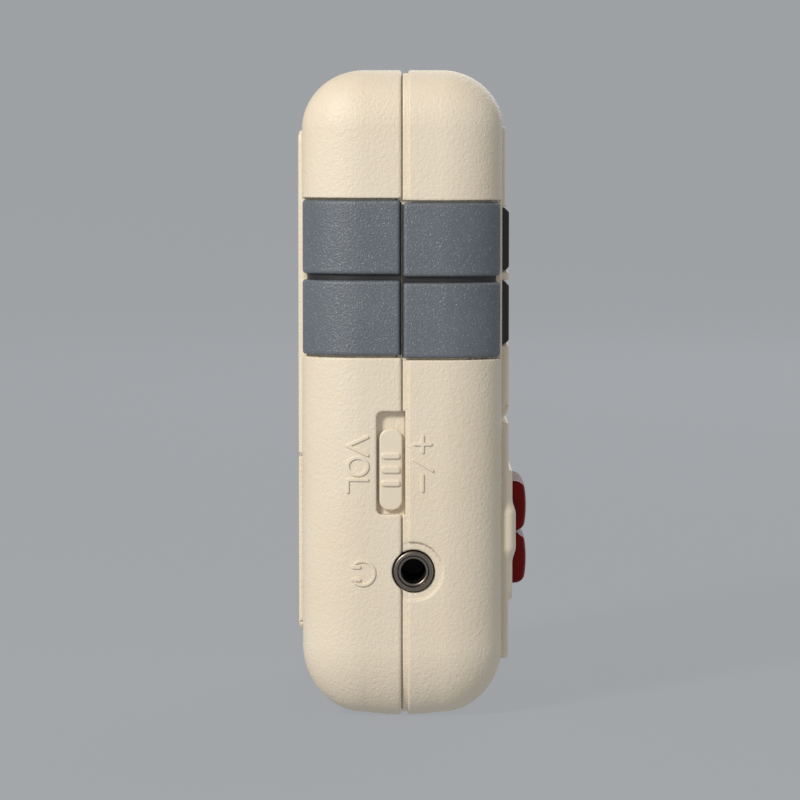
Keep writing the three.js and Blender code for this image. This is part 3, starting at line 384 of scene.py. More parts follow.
class Shader:
    """A node material that starts from a Principled shader."""

    def __init__(self, name):
        self.material = bpy.data.materials.new(name)
        self.material.use_nodes = True
        self.nodes = self.material.node_tree.nodes
        self.links = self.material.node_tree.links
        self.main = next(n for n in self.nodes if n.type == "BSDF_PRINCIPLED")
        self.place = self.node("ShaderNodeTexCoord").outputs["Object"]

    def node(self, kind, **settings):
        made = self.nodes.new(kind)
        for key, value in settings.items():
            setattr(made, key, value)
        return made

    def plug(self, value, socket):
        if hasattr(value, "links"):
            self.links.new(value, socket)
        else:
            socket.default_value = value
        return self

    def set(self, **values):
        """Sets inputs of the Principled shader, such as base_color for Base Color."""
        for key, value in values.items():
            title = key.replace("_", " ").title().replace("Ior", "IOR")
            self.plug(value, self.main.inputs[title])
        return self

    def noise(self, size, detail=2.0, rough=0.5, stretch=None):
        """Noise whose features are about size millimetres across."""
        made = self.node("ShaderNodeTexNoise")
        source = self.place
        if stretch is not None:
            mapping = self.node("ShaderNodeMapping")
            self.plug(source, mapping.inputs["Vector"])
            mapping.inputs["Scale"].default_value = stretch
            source = mapping.outputs["Vector"]
        self.plug(source, made.inputs["Vector"])
        made.inputs["Scale"].default_value = 1 / (size * MM)
        made.inputs["Detail"].default_value = detail
        made.inputs["Roughness"].default_value = rough
        return made.outputs["Fac"]

    def cells(self, size, feature="F1"):
        """Distance in cells about size millimetres across."""
        made = self.node("ShaderNodeTexVoronoi", feature=feature)
        self.plug(self.place, made.inputs["Vector"])
        made.inputs["Scale"].default_value = 1 / (size * MM)
        return made.outputs["Distance"]

    def ramp(self, value, low, high, to_low=0.0, to_high=1.0):
        """Maps a stretch of a value to another stretch, held at both ends."""
        made = self.node("ShaderNodeMapRange")
        self.plug(value, made.inputs["Value"])
        limits = {"From Min": low, "From Max": high, "To Min": to_low, "To Max": to_high}
        for key, number in limits.items():
            made.inputs[key].default_value = number
        return made.outputs["Result"]

    def mix(self, share, a, b):
        made = self.node("ShaderNodeMix", data_type="RGBA")
        self.plug(share, made.inputs["Factor"])
        self.plug(a, made.inputs["A"])
        self.plug(b, made.inputs["B"])
        return made.outputs["Result"]

    def math(self, operation, a, b=0.0):
        made = self.node("ShaderNodeMath", operation=operation)
        self.plug(a, made.inputs[0])
        self.plug(b, made.inputs[1])
        return made.outputs[0]

    def axis(self, index):
        made = self.node("ShaderNodeSeparateXYZ")
        self.plug(self.place, made.inputs[0])
        return made.outputs[index]

    def bump(self, height, depth):
        """A bump of some millimetres from a height between 0 and 1."""
        made = self.node("ShaderNodeBump")
        made.inputs["Distance"].default_value = depth * MM
        self.plug(height, made.inputs["Height"])
        return made.outputs["Normal"]


def shade(red, green, blue):
    """A linear colour from an sRGB one in 0 to 255."""
    parts = [value / 255 for value in (red, green, blue)]
    linear = [v / 12.92 if v <= 0.04045 else ((v + 0.055) / 1.055) ** 2.4 for v in parts]
    return (*linear, 1.0)


def cream_plastic(name, grain=1.0, gloss=0.0):
    """Warm cream moulding with a fine leather grain, faint yellowing and handling marks."""
    s = Shader(name)
    folds = s.noise(0.62, 3.0, 0.62)
    fine = s.noise(0.3, 3.0, 0.6)
    wrinkle = s.ramp(s.cells(0.8, "DISTANCE_TO_EDGE"), 0.0, 0.2)
    patch = s.noise(14.0, 3.0)
    blotch = s.noise(2.6, 4.0, 0.65)
    leather = s.math("ADD", s.math("MULTIPLY", folds, 1.1), s.math("MULTIPLY", fine, 0.6))
    leather = s.math("ADD", leather, s.math("MULTIPLY", wrinkle, 0.12))
    base = s.mix(s.ramp(patch, 0.35, 0.65), shade(240, 227, 205), shade(237, 222, 198))
    base = s.mix(s.ramp(blotch, 0.6, 0.85, 0.0, 0.10), base, shade(212, 194, 166))
    s.set(base_color=base, normal=s.bump(leather, 0.095 * grain))
    s.set(roughness=s.ramp(s.math("ADD", patch, fine), 0.7, 1.3, 0.38 - gloss, 0.5 - gloss))
    s.set(specular_ior_level=0.5, subsurface_weight=0.06, subsurface_scale=1.0)
    s.set(subsurface_radius=(0.0012, 0.0008, 0.0005))
    return s.material


def grip_plastic():
    """Blue-grey plastic with a fine grain, painted glints of near-white specks and worn, lighter high
    spots.
    """
    s = Shader("grip_grey")
    grit = s.noise(0.27, 3.0, 0.7)
    pits = s.cells(0.36)
    patch = s.noise(9.0, 3.0, 0.5)
    # Painted glints: the near-white specks mixed into the base colour stand in for tiny highlights on
    # the grain.
    spark = s.ramp(s.noise(0.24, 2.0, 0.6), 0.62, 0.70)
    base = s.mix(s.ramp(patch, 0.3, 0.7), shade(98, 104, 112), shade(104, 110, 117))
    base = s.mix(s.ramp(grit, 0.52, 0.75, 0.0, 0.4), base, shade(140, 146, 150))
    base = s.mix(s.math("MULTIPLY", spark, 0.5), base, shade(205, 208, 210))
    height = s.math("ADD", s.math("MULTIPLY", grit, 0.9), s.math("MULTIPLY", pits, 0.35))
    s.set(base_color=base, normal=s.bump(height, 0.10))
    s.set(roughness=s.ramp(grit, 0.35, 0.7, 0.46, 0.26))
    s.set(specular_ior_level=0.6)
    return s.material


def red_plastic():
    """Deep red, slightly see-through key plastic with a polished skin and fine scratches."""
    s = Shader("key_red")
    cloud = s.noise(3.0, 3.0)
    scratch = s.noise(0.35, 3.0, 0.7, stretch=(1.0, 1.0, 7.0))
    base = s.mix(s.ramp(cloud, 0.3, 0.7), (0.15, 0.0015, 0.0012, 1), (0.21, 0.003, 0.0025, 1))
    s.set(base_color=base, roughness=s.ramp(scratch, 0.45, 0.75, 0.14, 0.34))
    s.set(normal=s.bump(s.noise(0.5, 2.0), 0.006))
    s.set(specular_ior_level=0.12)
    return s.material


def smoked_pane():
    """Smoked acrylic, polished, with dust and hair scratches."""
    s = Shader("smoked_acrylic")
    dust = s.ramp(s.noise(0.3, 3.0, 0.7), 0.62, 0.8, 0.0, 0.25)
    scratch = s.noise(0.5, 3.0, 0.7, stretch=(0.15, 1.0, 1.0))
    base = s.mix(dust, (0.030, 0.027, 0.022, 1), (0.10, 0.095, 0.085, 1))
    s.set(base_color=base, roughness=s.ramp(scratch, 0.5, 0.8, 0.08, 0.3))
    s.set(transmission_weight=0.55, ior=1.49)
    return s.material


def metal(name, color, rough, scratch_size=0.4, stretch=(1.0, 1.0, 1.0), tarnish=0.3):
    """Bare or plated metal with brushed streaks, tarnish and uneven gloss."""
    s = Shader(name)
    streak = s.noise(scratch_size, 4.0, 0.65, stretch=stretch)
    stain = s.noise(2.5, 4.0, 0.6)
    dull = tuple(c * 0.45 for c in color[:3]) + (1.0,)
    s.set(base_color=s.mix(s.ramp(stain, 0.5, 0.8, 0.0, tarnish), color, dull))
    s.set(metallic=1.0, roughness=s.ramp(streak, 0.3, 0.7, rough * 0.7, rough * 1.4))
    s.set(normal=s.bump(streak, 0.006))
    return s.material


def plain_plastic(name, light, dark, rough=0.45, grain=0.25, depth=0.015):
    """Moulded plastic with a fine spark-eroded texture and a slight mottle."""
    s = Shader(name)
    texture = s.noise(grain, 3.0, 0.6)
    mottle = s.noise(4.0, 3.0)
    s.set(base_color=s.mix(s.ramp(mottle, 0.3, 0.7), light, dark))
    s.set(roughness=s.ramp(texture, 0.3, 0.7, rough * 0.85, rough * 1.15))
    s.set(normal=s.bump(texture, depth))
    return s.material


def board_material():
    """Green solder mask over copper tracks, with tinned pads."""
    s = Shader("circuit_board")
    tracks = s.node("ShaderNodeTexBrick")
    mapping = s.node("ShaderNodeMapping")
    mapping.inputs["Rotation"].default_value = (math.pi / 2, 0, 0)
    s.plug(s.place, mapping.inputs["Vector"])
    s.plug(mapping.outputs["Vector"], tracks.inputs["Vector"])
    tracks.inputs["Scale"].default_value = 160
    tracks.inputs["Mortar Size"].default_value = 0.05
    pads = s.ramp(s.cells(2.4), 0.16, 0.2)
    base = s.mix(tracks.outputs["Fac"], shade(30, 84, 44), shade(58, 118, 60))
    base = s.mix(s.math("SUBTRACT", 1.0, pads), base, shade(176, 176, 170))
    s.set(base_color=base, roughness=0.32, normal=s.bump(tracks.outputs["Fac"], 0.03))
    return s.material


HUB_RADIUS = 4.15
RINGS_PER_METRE = 42000.0  # radians of the ring pattern


def tape_material():
    """Wound brown tape on a white hub: fine rings round each reel's own axis."""
    s = Shader("wound_tape")
    centre = centre_of("takeup_reel") * MM
    across = s.math("SUBTRACT", s.math("ABSOLUTE", s.axis(0)), centre[0])
    up = s.math("SUBTRACT", s.axis(2), centre[2])
    square = s.math("ADD", s.math("MULTIPLY", across, across), s.math("MULTIPLY", up, up))
    radius = s.math("SQRT", square)
    rings = s.math("SINE", s.math("MULTIPLY", radius, RINGS_PER_METRE))
    hub = s.ramp(radius, HUB_RADIUS * MM, (HUB_RADIUS + 0.15) * MM)
    ring_tone = s.mix(s.ramp(rings, -1.0, 1.0), shade(44, 27, 18), shade(74, 48, 34))
    s.set(base_color=s.mix(hub, shade(226, 224, 214), ring_tone))
    s.set(roughness=s.ramp(hub, 0.0, 1.0, 0.5, 0.26), normal=s.bump(rings, 0.01))
    return s.material


def jacket_material():
    """A cell's jacket: silver foil with a dark band at one end, bare metal at its ends."""
    s = Shader("cell_jacket")
    cell_low, cell_high = span("battery_lower")
    x = s.axis(0)
    band = s.ramp(x, (cell_low[0] + 12.0) * MM, (cell_low[0] + 12.1) * MM)
    tip_left = s.ramp(x, (cell_low[0] + 1.0) * MM, (cell_low[0] + 1.05) * MM)
    tip_right = s.ramp(x, (cell_high[0] - 1.05) * MM, (cell_high[0] - 1.0) * MM)
    paint = s.mix(band, shade(40, 44, 52), shade(150, 152, 150))
    scuff = s.ramp(s.noise(1.2, 4.0, 0.7), 0.6, 0.8, 0.0, 0.3)
    paint = s.mix(scuff, paint, shade(190, 190, 186))
    foil = s.math("MULTIPLY", tip_left, s.math("SUBTRACT", 1.0, tip_right))
    s.set(base_color=s.mix(foil, shade(196, 196, 190), paint))
    s.set(metallic=s.ramp(foil, 0.0, 1.0, 1.0, 0.35))
    s.set(roughness=s.ramp(scuff, 0.0, 0.3, 0.26, 0.5))
    return s.material


def backdrop_material():
    """Pale grey seamless paper: dark, with a faint glow, which keeps it even behind the part."""
    s = Shader("backdrop_paper")
    fibre = s.noise(1.5, 3.0)
    s.set(base_color=s.mix(fibre, (0.045, 0.046, 0.048, 1), (0.05, 0.051, 0.053, 1)))
    s.set(roughness=0.9, normal=s.bump(fibre, 0.02))
    s.set(specular_ior_level=0.0)
    s.set(emission_color=(0.338, 0.35, 0.366, 1), emission_strength=0.97)
    return s.material


CREAM = cream_plastic("cream_grained")
CREAM_SMOOTH = cream_plastic("cream_satin", grain=0.2, gloss=0.04)
CONTROL = cream_plastic("cream_gloss", grain=0.06, gloss=0.14)
GREY = grip_plastic()
RED = red_plastic()
SMOKED = smoked_pane()
NICKEL = metal("dark_nickel", (0.26, 0.225, 0.19, 1), 0.3, 0.25)
STEEL = metal("steel", (0.56, 0.57, 0.58, 1), 0.32, 0.3, (1.0, 1.0, 6.0))
PLATED = metal("zinc_plate", (0.62, 0.61, 0.56, 1), 0.38, 0.5, (6.0, 1.0, 1.0), 0.2)
BRASS = metal("brass", (0.66, 0.49, 0.22, 1), 0.28, 0.2)
SPRING = metal("spring_wire", (0.72, 0.71, 0.68, 1), 0.2, 0.3, tarnish=0.15)
BLACK = plain_plastic("black_moulding", (0.018, 0.018, 0.019, 1), (0.026, 0.026, 0.027, 1))
WHITE = plain_plastic("white_acetal", shade(222, 220, 212), shade(210, 208, 198), 0.4)
SMOKE_CASSETTE = plain_plastic(
    "cassette_grey", shade(52, 53, 56), shade(60, 61, 64), 0.42, 0.18, 0.02)
LABEL = plain_plastic(
    "paper_label", shade(224, 217, 198), shade(214, 206, 184), 0.75, 0.12, 0.01)
RUBBER = plain_plastic(
    "black_rubber", (0.015, 0.015, 0.015, 1), (0.03, 0.03, 0.03, 1), 0.8, 0.3, 0.03)
GREEN = board_material()
TAPE = tape_material()
JACKET = jacket_material()

# ---------------------------------------------------------------- camera, light and floor

VIEW_AZIMUTH = math.radians(270)
VIEW_ELEVATION = math.radians(4.0)
LENS = 170.0
SENSOR = 36.0
FRAME_HEIGHT = 118.9  # how much of the machine's plane the picture is high
AIM = Vector((-HALF, JOINT + 0.34, 48.05)) * MM


def make_camera():
    data = bpy.data.cameras.new("camera")
    data.lens = LENS
    data.sensor_width = SENSOR
    camera = add_object("camera", data)
    away = Vector((
        math.sin(VIEW_AZIMUTH) * math.cos(VIEW_ELEVATION),
        -math.cos(VIEW_AZIMUTH) * math.cos(VIEW_ELEVATION),
        math.sin(VIEW_ELEVATION),
    ))
    camera.location = AIM + away * (FRAME_HEIGHT * MM * LENS / SENSOR)
    camera.rotation_mode = "QUATERNION"
    camera.rotation_quaternion = (-away).to_track_quat("-Z", "Y")
    data.clip_start = 0.01
    data.clip_end = 20
    bpy.context.scene.camera = camera


LIGHT_AIM = Vector((0, 0, 0.05))


def make_light(name, place, size, power, color):
    data = bpy.data.lights.new(name, "AREA")
    data.shape = "DISK"
    data.size = size
    data.energy = power
    data.color = color
    lamp = add_object(name, data)
    lamp.location = place
    lamp.rotation_mode = "QUATERNION"
    lamp.rotation_quaternion = (LIGHT_AIM - Vector(place)).to_track_quat("-Z", "Y")


FLOOR, BEND, RISE = 1100.0, 700.0, 1600.0
BEND_STEPS = 12


def make_backdrop(material):
    """A round sweep of paper: a flat floor that curves up into a wall all round."""
    profile = [(0.0, 0.0), (FLOOR / 2, 0.0), (FLOOR, 0.0)]
    for step in range(1, BEND_STEPS + 1):
        angle = step / BEND_STEPS * math.pi / 2
        profile.append((FLOOR + BEND * math.sin(angle), BEND * (1 - math.cos(angle))))
    profile.append((FLOOR + BEND, BEND + RISE))
    backdrop = turned("backdrop", 2, (0.0, 0.0), profile, 96)
    backdrop.data.materials.append(material)


def make_world():
    world = bpy.data.worlds.new("studio")
    world.use_nodes = True
    shader = world.node_tree.nodes["Background"]
    shader.inputs["Color"].default_value = (0.80, 0.84, 0.90, 1)
    shader.inputs["Strength"].default_value = 0.26
    bpy.context.scene.world = world


make_camera()
make_world()
make_backdrop(backdrop_material())
make_light("key", (-0.50, 0.38, 0.42), 0.16, 3.7, (1.0, 0.962, 0.905))
make_light("fill", (-0.75, -0.55, 0.30), 0.8, 0.2, (0.93, 0.96, 1.0))
make_light("far_fill", (0.8, -0.35, 0.6), 0.9, 4.0, (0.97, 0.98, 1.0))
bpy.context.scene.view_settings.view_transform = "Standard"

# ---------------------------------------------------------------- the case

band_low, band_high = span("grip_lower_rear_left")
top_high = span("grip_upper_rear_left")[1]
front_band_low, front_band_high = span("grip_lower_front_left")
front_top_high = span("grip_upper_front_left")[1]
GRIP_DEPTH = 0.7
PIN_ROOM = 0.2
PLATE_TOP = HEIGHT - 9.0  # of the raised field on the back
BORE_RADIUS, SHANK_RADIUS = 2.3, 1.2  # the case screws' holes
FRONT_BAND_END = -front_band_high[0]  # how far from the middle the bands end on the front and the back
REAR_BAND_END = -band_high[0]


def grip_pocket(p, low_z, high_z, inner, outer):
    """The pockets for the grey bands on one half of the case."""
    x, _, z = p.T
    tall = np.maximum(low_z - z, z - high_z)
    return np.maximum(np.maximum(-(outer + GRIP_DEPTH + GAP), inner - np.abs(x)), tall)


def pin_pockets(p, node, outward):
    """Room in the case for the ends of a door's hinge pin."""
    low, high = span(node)
    x, y, z = p.T
    tall = np.maximum(low[2] - PIN_ROOM - z, z - high[2] - PIN_ROOM)
    edge = high[1] + PIN_ROOM if outward > 0 else low[1] - PIN_ROOM
    deep = (y - edge) * outward
    return np.maximum(np.maximum(np.abs(x) - high[0] - GAP, tall), deep)


lamp_low, lamp_high = span("record_lamp")
LAMP = centre_of("record_lamp")[[0, 2]]
SPEAKER = centre_of("speaker")[[0, 2]]
record_low, record_high = span("record_key")
play_low, play_high = span("play_key")
key_low = np.minimum(record_low, play_low)
key_high = np.maximum(record_high, play_high)
mic_low, mic_high = span("microphone")
volume_low, volume_high = span("volume_knob")
RECESS = {"depth": 1.4, "beside": 0.4, "corner": 0.9}
RECESS_BOTTOM = volume_low[2] - 0.6
RECESS_TOP = RECESS_BOTTOM + 15.4
RECESS_MIDDLE = (RECESS_BOTTOM + RECESS_TOP) / 2
RECESS_HALF = (RECESS_TOP - RECESS_BOTTOM) / 2


def slide_recess(p, side, node):
    """The recess of a side slide across the joint, with a slot in its floor under the knob."""
    low, high = span(node)
    x, y, z = p.T
    depth = (HALF - RECESS["depth"]) - side * x
    corner = RECESS["corner"]
    q_y = y - (high[1] + RECESS["beside"] - corner)
    q_z = np.abs(z - RECESS_MIDDLE) - (RECESS_HALF - corner)
    across = np.hypot(np.maximum(q_y, 0), np.maximum(q_z, 0))
    across += np.minimum(np.maximum(q_y, q_z), 0) - corner
    recess = np.maximum(np.maximum(across, low[1] - RECESS["beside"] - y), depth)
    middle = (low[1] + high[1]) / 2
    slot = np.maximum(np.abs(y - middle) - 1.0, np.abs(z - RECESS_MIDDLE) - 3.0)
    slot = np.maximum(slot, (HALF - 4) - side * x)
    return np.minimum(recess, slot)


def recess_shelf(p, outer, room):
    """The slide recesses' floor, which the rear half carries a little way under the front half."""
    _, y, z = p.T
    tall = np.abs(z - RECESS_MIDDLE) - (RECESS_HALF + 0.3 + room)
    along = np.maximum(volume_low[1] - RECESS["beside"] - room - y, y - (JOINT + 1.2))
    deep = np.maximum(outer + 1.2 - room, -(outer + WALL))
    return np.maximum(np.maximum(deep, tall), along)


def side_openings(body, p, pocket):
    """Cuts what both halves share: band pockets, slide recesses and the hole of the socket."""
    body = cut(body, pocket, 0.25)
    for side, knob in ((-1, "volume_knob"), (1, "wind_knob")):
        body = cut(body, slide_recess(p, side, knob), 0.3)
    hole = disc_field(p, 0, SOCKET, -HALF - 5, -HALF + 5, SOCKET_RADIUS + 0.18)
    return cut(body, hole, 0.25)


def front_shell_field(p):
    y = p[:, 1]
    outer = case_field(p)
    body = smooth_max(outer, y - JOINT, 0.5)
    step = np.maximum(-(outer + LIP_DEPTH), JOINT - LIP_WIDTH - y)
    body = cut(body, step, 0.3)
    inner = case_field(p, WALL)
    body = cut(body, inner, 0.3)
    thick = np.maximum(outer + TONGUE["from"], -(outer + TONGUE["to"]))
    along = np.maximum(JOINT - 0.6 - y, y - JOINT - TONGUE["reach"])
    body = smooth_min(body, np.maximum(thick, along), 0.05)
    body = cut(body, recess_shelf(p, outer - 0.1, 0.1), 0.05)
    half_width = door_high[0] + GAP
    doorway = prism_field(p, 1, (-half_width, FRONT_FACE - 20, door_low[2] - GAP),
                          (half_width, FRONT_FACE + 5, door_high[2] + GAP), 0.6, 0.1)
    body = cut(body, doorway, 0.45)
    bed = prism_field(p, 1, (-half_width, FRONT_FACE - 20, panel_low[2] - GAP),
                      (half_width, FRONT_FACE + 1.0, door_low[2] + 1), 3.2, 0.1)
    body = cut(body, bed, 0.45)
    keys = prism_field(p, 1, (key_low[0] - 0.6, -FAR, key_low[2] - 0.6),
                       (key_high[0] + 0.6, JOINT - 3, key_high[2] + 0.6), 0.5, 0.1)
    body = cut(body, keys, 0.2)
    body = cut(body, disc_field(p, 1, SPEAKER, -FAR, JOINT - 3, 9.0), 0.2)
    pocket = grip_pocket(p, front_band_low[2] - GAP, front_top_high[2] + GAP,
                         FRONT_BAND_END - GAP, outer)
    body = side_openings(body, p, pocket)
    dish = disc_field(p, 0, SOCKET, -HALF - 5, -HALF + LIP_DEPTH, SOCKET_RADIUS + 1.35, 0.1)
    body = cut(body, dish, 0.35)
    for index in (-1, 0, 1):
        middle = (mic_low[0] + mic_high[0]) / 2 + index * 3.0
        slot = prism_field(p, 2, (middle - 0.4, mic_low[1], HEIGHT - 6),
                           (middle + 0.4, mic_high[1], HEIGHT + 6), 0.39, 0.1)
        body = cut(body, slot, 0.3)
    return cut(body, pin_pockets(p, "cassette_door_pin", -1), 0.1)


def rear_shell_field(p):
    y = p[:, 1]
    outer = case_field(p)
    body = smooth_max(outer, JOINT + JOINT_GAP - y, 0.5)
    rabbet = np.maximum(outer + TONGUE["from"] - 0.1, y - (JOINT + TONGUE["reach"] + 0.1))
    body = np.maximum(body, -rabbet)
    body = np.minimum(body, recess_shelf(p, outer, 0.0))
    field = prism_field(p, 1, (battery_low[0], REAR_FACE - 4, battery_low[2] - 0.02),
                        (battery_high[0], REAR_FIELD, PLATE_TOP), 1.8, 0.35)
    body = smooth_min(body, field, 0.5)
    inner = case_field(p, WALL)
    body = cut(body, inner, 0.3)
    opening = prism_field(p, 1, (battery_low[0] - GAP, REAR_FACE - 5, battery_low[2] - GAP),
                          (battery_high[0] + GAP, REAR_FACE + 20, battery_high[2] + GAP), 0.6, 0.1)
    body = cut(body, opening, 0.4)
    pocket = grip_pocket(p, band_low[2] - GAP, top_high[2] + GAP, REAR_BAND_END - GAP, outer)
    body = side_openings(body, p, pocket)
    for node in ("case_screw_left", "case_screw_right"):
        centre = centre_of(node)[[0, 2]]
        bore = disc_field(p, 1, centre, REAR_FIELD - 1.5, REAR_FIELD + 9, BORE_RADIUS)
        shank = disc_field(p, 1, centre, JOINT, REAR_FIELD + 9, SHANK_RADIUS)
        body = cut(body, np.minimum(bore, shank), 0.3)
    return cut(body, pin_pockets(p, "battery_door_pin", 1), 0.1)


def shell_axes(front):
    """The grid of a case half, finer at its rims, openings, bands and recesses."""
    edge_x = (door_high if front else battery_high)[0] + GAP
    inner = FRONT_BAND_END if front else REAR_BAND_END
    xs = [near(s * a, 0.5, 0.22) for s in (-1, 1) for a in (edge_x, inner, HALF - 0.4)]
    if front:
        xs += [(key_low[0] - 1, key_low[0] - 0.2, 0.3), (key_high[0] + 0.2, key_high[0] + 1, 0.3),
               (mic_low[0] - 0.6, mic_high[0] + 0.6, 0.2)]
        ys = [(JOINT - 1.3, JOINT + 1.0, 0.11), (FRONT_FACE - 0.2, FRONT_FACE + 1.3, 0.25)]
        rims = (panel_low[2] - GAP, door_low[2] - GAP, door_high[2] + GAP,
                front_band_low[2] - GAP, front_top_high[2] + GAP, RECESS_BOTTOM, RECESS_TOP)
        zs = [(key_low[2] - 1, key_low[2] - 0.2, 0.3), (key_high[2] + 0.2, key_high[2] + 1, 0.3)]
        low, high = (-HALF, FRONT_FACE, 0.0), (HALF, JOINT + 1.0, HEIGHT)
    else:
        xs += [near(s * 21.5, 2.6, 0.25) for s in (-1, 1)]
        ys = [(JOINT, JOINT + 1.1, 0.11), (volume_high[1] - 0.6, volume_high[1] + 0.7, 0.2),
              (REAR_FACE - 1.0, REAR_FIELD + 0.1, 0.2)]
        rims = (battery_low[2] - GAP, battery_high[2] + GAP, PLATE_TOP,
                band_low[2] - GAP, top_high[2] + GAP)
        zs = [(RECESS_BOTTOM - 0.3, RECESS_BOTTOM + 1.1, 0.18),
              (RECESS_TOP - 1.1, RECESS_TOP + 0.3, 0.18), (83.6, 88.6, 0.25)]
        low, high = (-HALF, JOINT, 0.0), (HALF, REAR_FIELD, HEIGHT)
    zs += [near(a, 0.4, 0.2) for a in rims] + [near(SOCKET[1], 4.7, 0.22)]
    zs += [(-0.2, 1.8, 0.4), (HEIGHT - 1.8, HEIGHT + 0.2, 0.4)]
    return grid_axes(low, high, (0.7, 0.5, 0.7), (xs, ys, zs))


for half_name, half_field in (("front", front_shell_field), ("rear", rear_shell_field)):
    half = skin("case_" + half_name, half_field, shell_axes(half_name == "front"))
    finish_piece(half, CREAM, "cream_case", "case", half_name + "_shell")


def make_grip(node):
    """A band quarter: the outer skin of the case between its ends, with softened edges."""
    low, high = span(node)
    left = low[0] < 0
    front = low[1] < JOINT - 2

    def field(p):
        x, y, z = p.T
        outer = case_field(p, -0.02)
        across = (x - high[0]) if left else (low[0] - x)
        ends = smooth_max(np.maximum(low[2] - z, z - high[2]), across, 0.4)
        joint = (y - high[1]) if front else (low[1] - y)
        sides = smooth_max(ends, joint, 0.4)
        body = smooth_max(outer, sides, 0.6)
        return smooth_max(body, -(outer + GRIP_DEPTH), 0.05)

    starts = [(a - 0.3, a + 0.5, 0.12) for a in low]
    stops = [(b - 0.5, b + 0.3, 0.12) for b in high]
    spots = [stops[:1] if left else starts[:1], (starts[1], stops[1]), (starts[2], stops[2])]
    axes = grid_axes(low, high, (0.35, 0.5, 0.6), spots)
    finish_piece(skin("band_" + node[5:], field, axes), GREY, "grey_grip", "case", node)


for level in ("upper", "lower"):
    for half in ("front", "rear"):
        for hand in ("left", "right"):
            make_grip(f"grip_{level}_{half}_{hand}")


def make_painted_shade_floor(front, side):
    """A near-black floor in a band pocket: painted shade, which makes the groove between and round the
    bands read dark.
    """
    upper_high = front_top_high if front else top_high
    lower_low = front_band_low if front else band_low
    end = FRONT_BAND_END if front else REAR_BAND_END
    y_low, y_high = (-FAR, JOINT - 0.02) if front else (JOINT + JOINT_GAP + 0.02, FAR)

    def field(p):
        x, y, z = p.T
        outer = case_field(p)
        shell = np.maximum(outer + GRIP_DEPTH + 0.03, -(outer + GRIP_DEPTH + 0.27))
        tall = np.maximum(lower_low[2] - 0.2 - z, z - upper_high[2] - 0.2)
        along = np.maximum(y_low - y, y - y_high)
        return np.maximum(np.maximum(shell, tall), np.maximum(end - 0.1 - side * x, along))

    edges = sorted((side * end, side * HALF))
    depth = (FRONT_FACE, JOINT) if front else (JOINT, REAR_FACE)
    low, high = zip(edges, depth, (lower_low[2], upper_high[2]))
    axes = grid_axes(low, high, (0.13, 0.13, 0.8), ((), (), ()))
    name = f"painted_shade_floor_{'front' if front else 'rear'}_{'left' if side < 0 else 'right'}"
    # The near-black colour of this floor is painted shade for the grooves between and round the bands.
    finish_piece(skin(name, field, axes), BLACK, "black_plastic", "case")


for half_is_front in (True, False):
    for hand_side in (-1, 1):
        make_painted_shade_floor(half_is_front, hand_side)

# ---------------------------------------------------------------- front panel and doors

PAD_LOW, PAD_HIGH = key_low[2] - 2.05, key_high[2] + 2.15
PAD_HALF = 24.6
PAD_PROUD = 1.5
REST_PROUD = 1.75  # the thumb rest, beside the keys
REST_BOTTOM, REST_TOP, REST_END = 24.3, 31.4, -20.9


SPEAKER_SLOTS = 6
SLOT_PITCH = 2.5
SPEAKER_REACH = 8.0


def panel_field(p):
    """The lower front panel, its raised pad, thumb rest, key openings and sound slots."""
    back = panel_high[1]
    half_width = door_high[0]
    low, high = (-half_width, FRONT_FIELD, panel_low[2]), (half_width, back, panel_high[2])
    field = prism_field(p, 1, low, high, 3.0, 0.35)
    square = prism_field(p, 1, (low[0], low[1], low[2] + 8), high, 0.4, 0.3)
    pad = prism_field(p, 1, (-PAD_HALF, FRONT_FACE - PAD_PROUD, PAD_LOW),
                      (PAD_HALF, back, PAD_HIGH), 1.6, 0.45)
    body = smooth_min(smooth_min(field, square, 0.05), pad, 0.5)
    thumb_rest = box_field(p, (panel_low[0] + 0.8, FRONT_FACE - REST_PROUD, REST_BOTTOM),
                           (REST_END, FRONT_FACE + 0.6, REST_TOP), 1.15)
    body = smooth_min(body, thumb_rest, 1.5)
    keys = prism_field(p, 1, (key_low[0] - GAP, -FAR, key_low[2] - GAP),
                       (key_high[0] + GAP, FAR, key_high[2] + GAP), 0.8, 0.1)
    body = cut(body, keys, 0.35)
    for index in range(SPEAKER_SLOTS):
        offset = (index - (SPEAKER_SLOTS - 1) / 2) * SLOT_PITCH
        half = math.sqrt(SPEAKER_REACH**2 - offset**2)
        z = SPEAKER[1] + offset
        slot = prism_field(p, 1, (SPEAKER[0] - half, -FAR, z - 0.55),
                           (SPEAKER[0] + half, FAR, z + 0.55), 0.54, 0.1)
        body = cut(body, slot, 0.35)
    return cut(body, disc_field(p, 1, LAMP, -FAR, FAR, 1.32), 0.3)


def make_panel():
    xs = [(-26.6, -20.0, 0.3), (key_high[0] - 0.2, key_high[0] + 0.8, 0.2),
          (3.6, 22.8, 0.36), (24.0, 25.2, 0.2)]
    ys = [(panel_low[1] - 0.2, panel_high[1] + 0.1, 0.2)]
    zs = [(panel_low[2] - 0.2, panel_low[2] + 0.6, 0.2), (PAD_LOW - 0.4, PAD_HIGH + 0.4, 0.25),
          (39.4, 42.4, 0.22), (43.6, 44.4, 0.2)]
    axes = grid_axes(panel_low, panel_high, (0.7, 0.3, 0.7), (xs, ys, zs))
    finish_piece(skin("panel", panel_field, axes), CREAM_SMOOTH, "cream_case", "case", "front_panel")


make_panel()


DOOR_EDGE = 2.2  # radius of a door's round lower edge, about its pin
BARREL = 1.6
PIN_BORE = 0.62


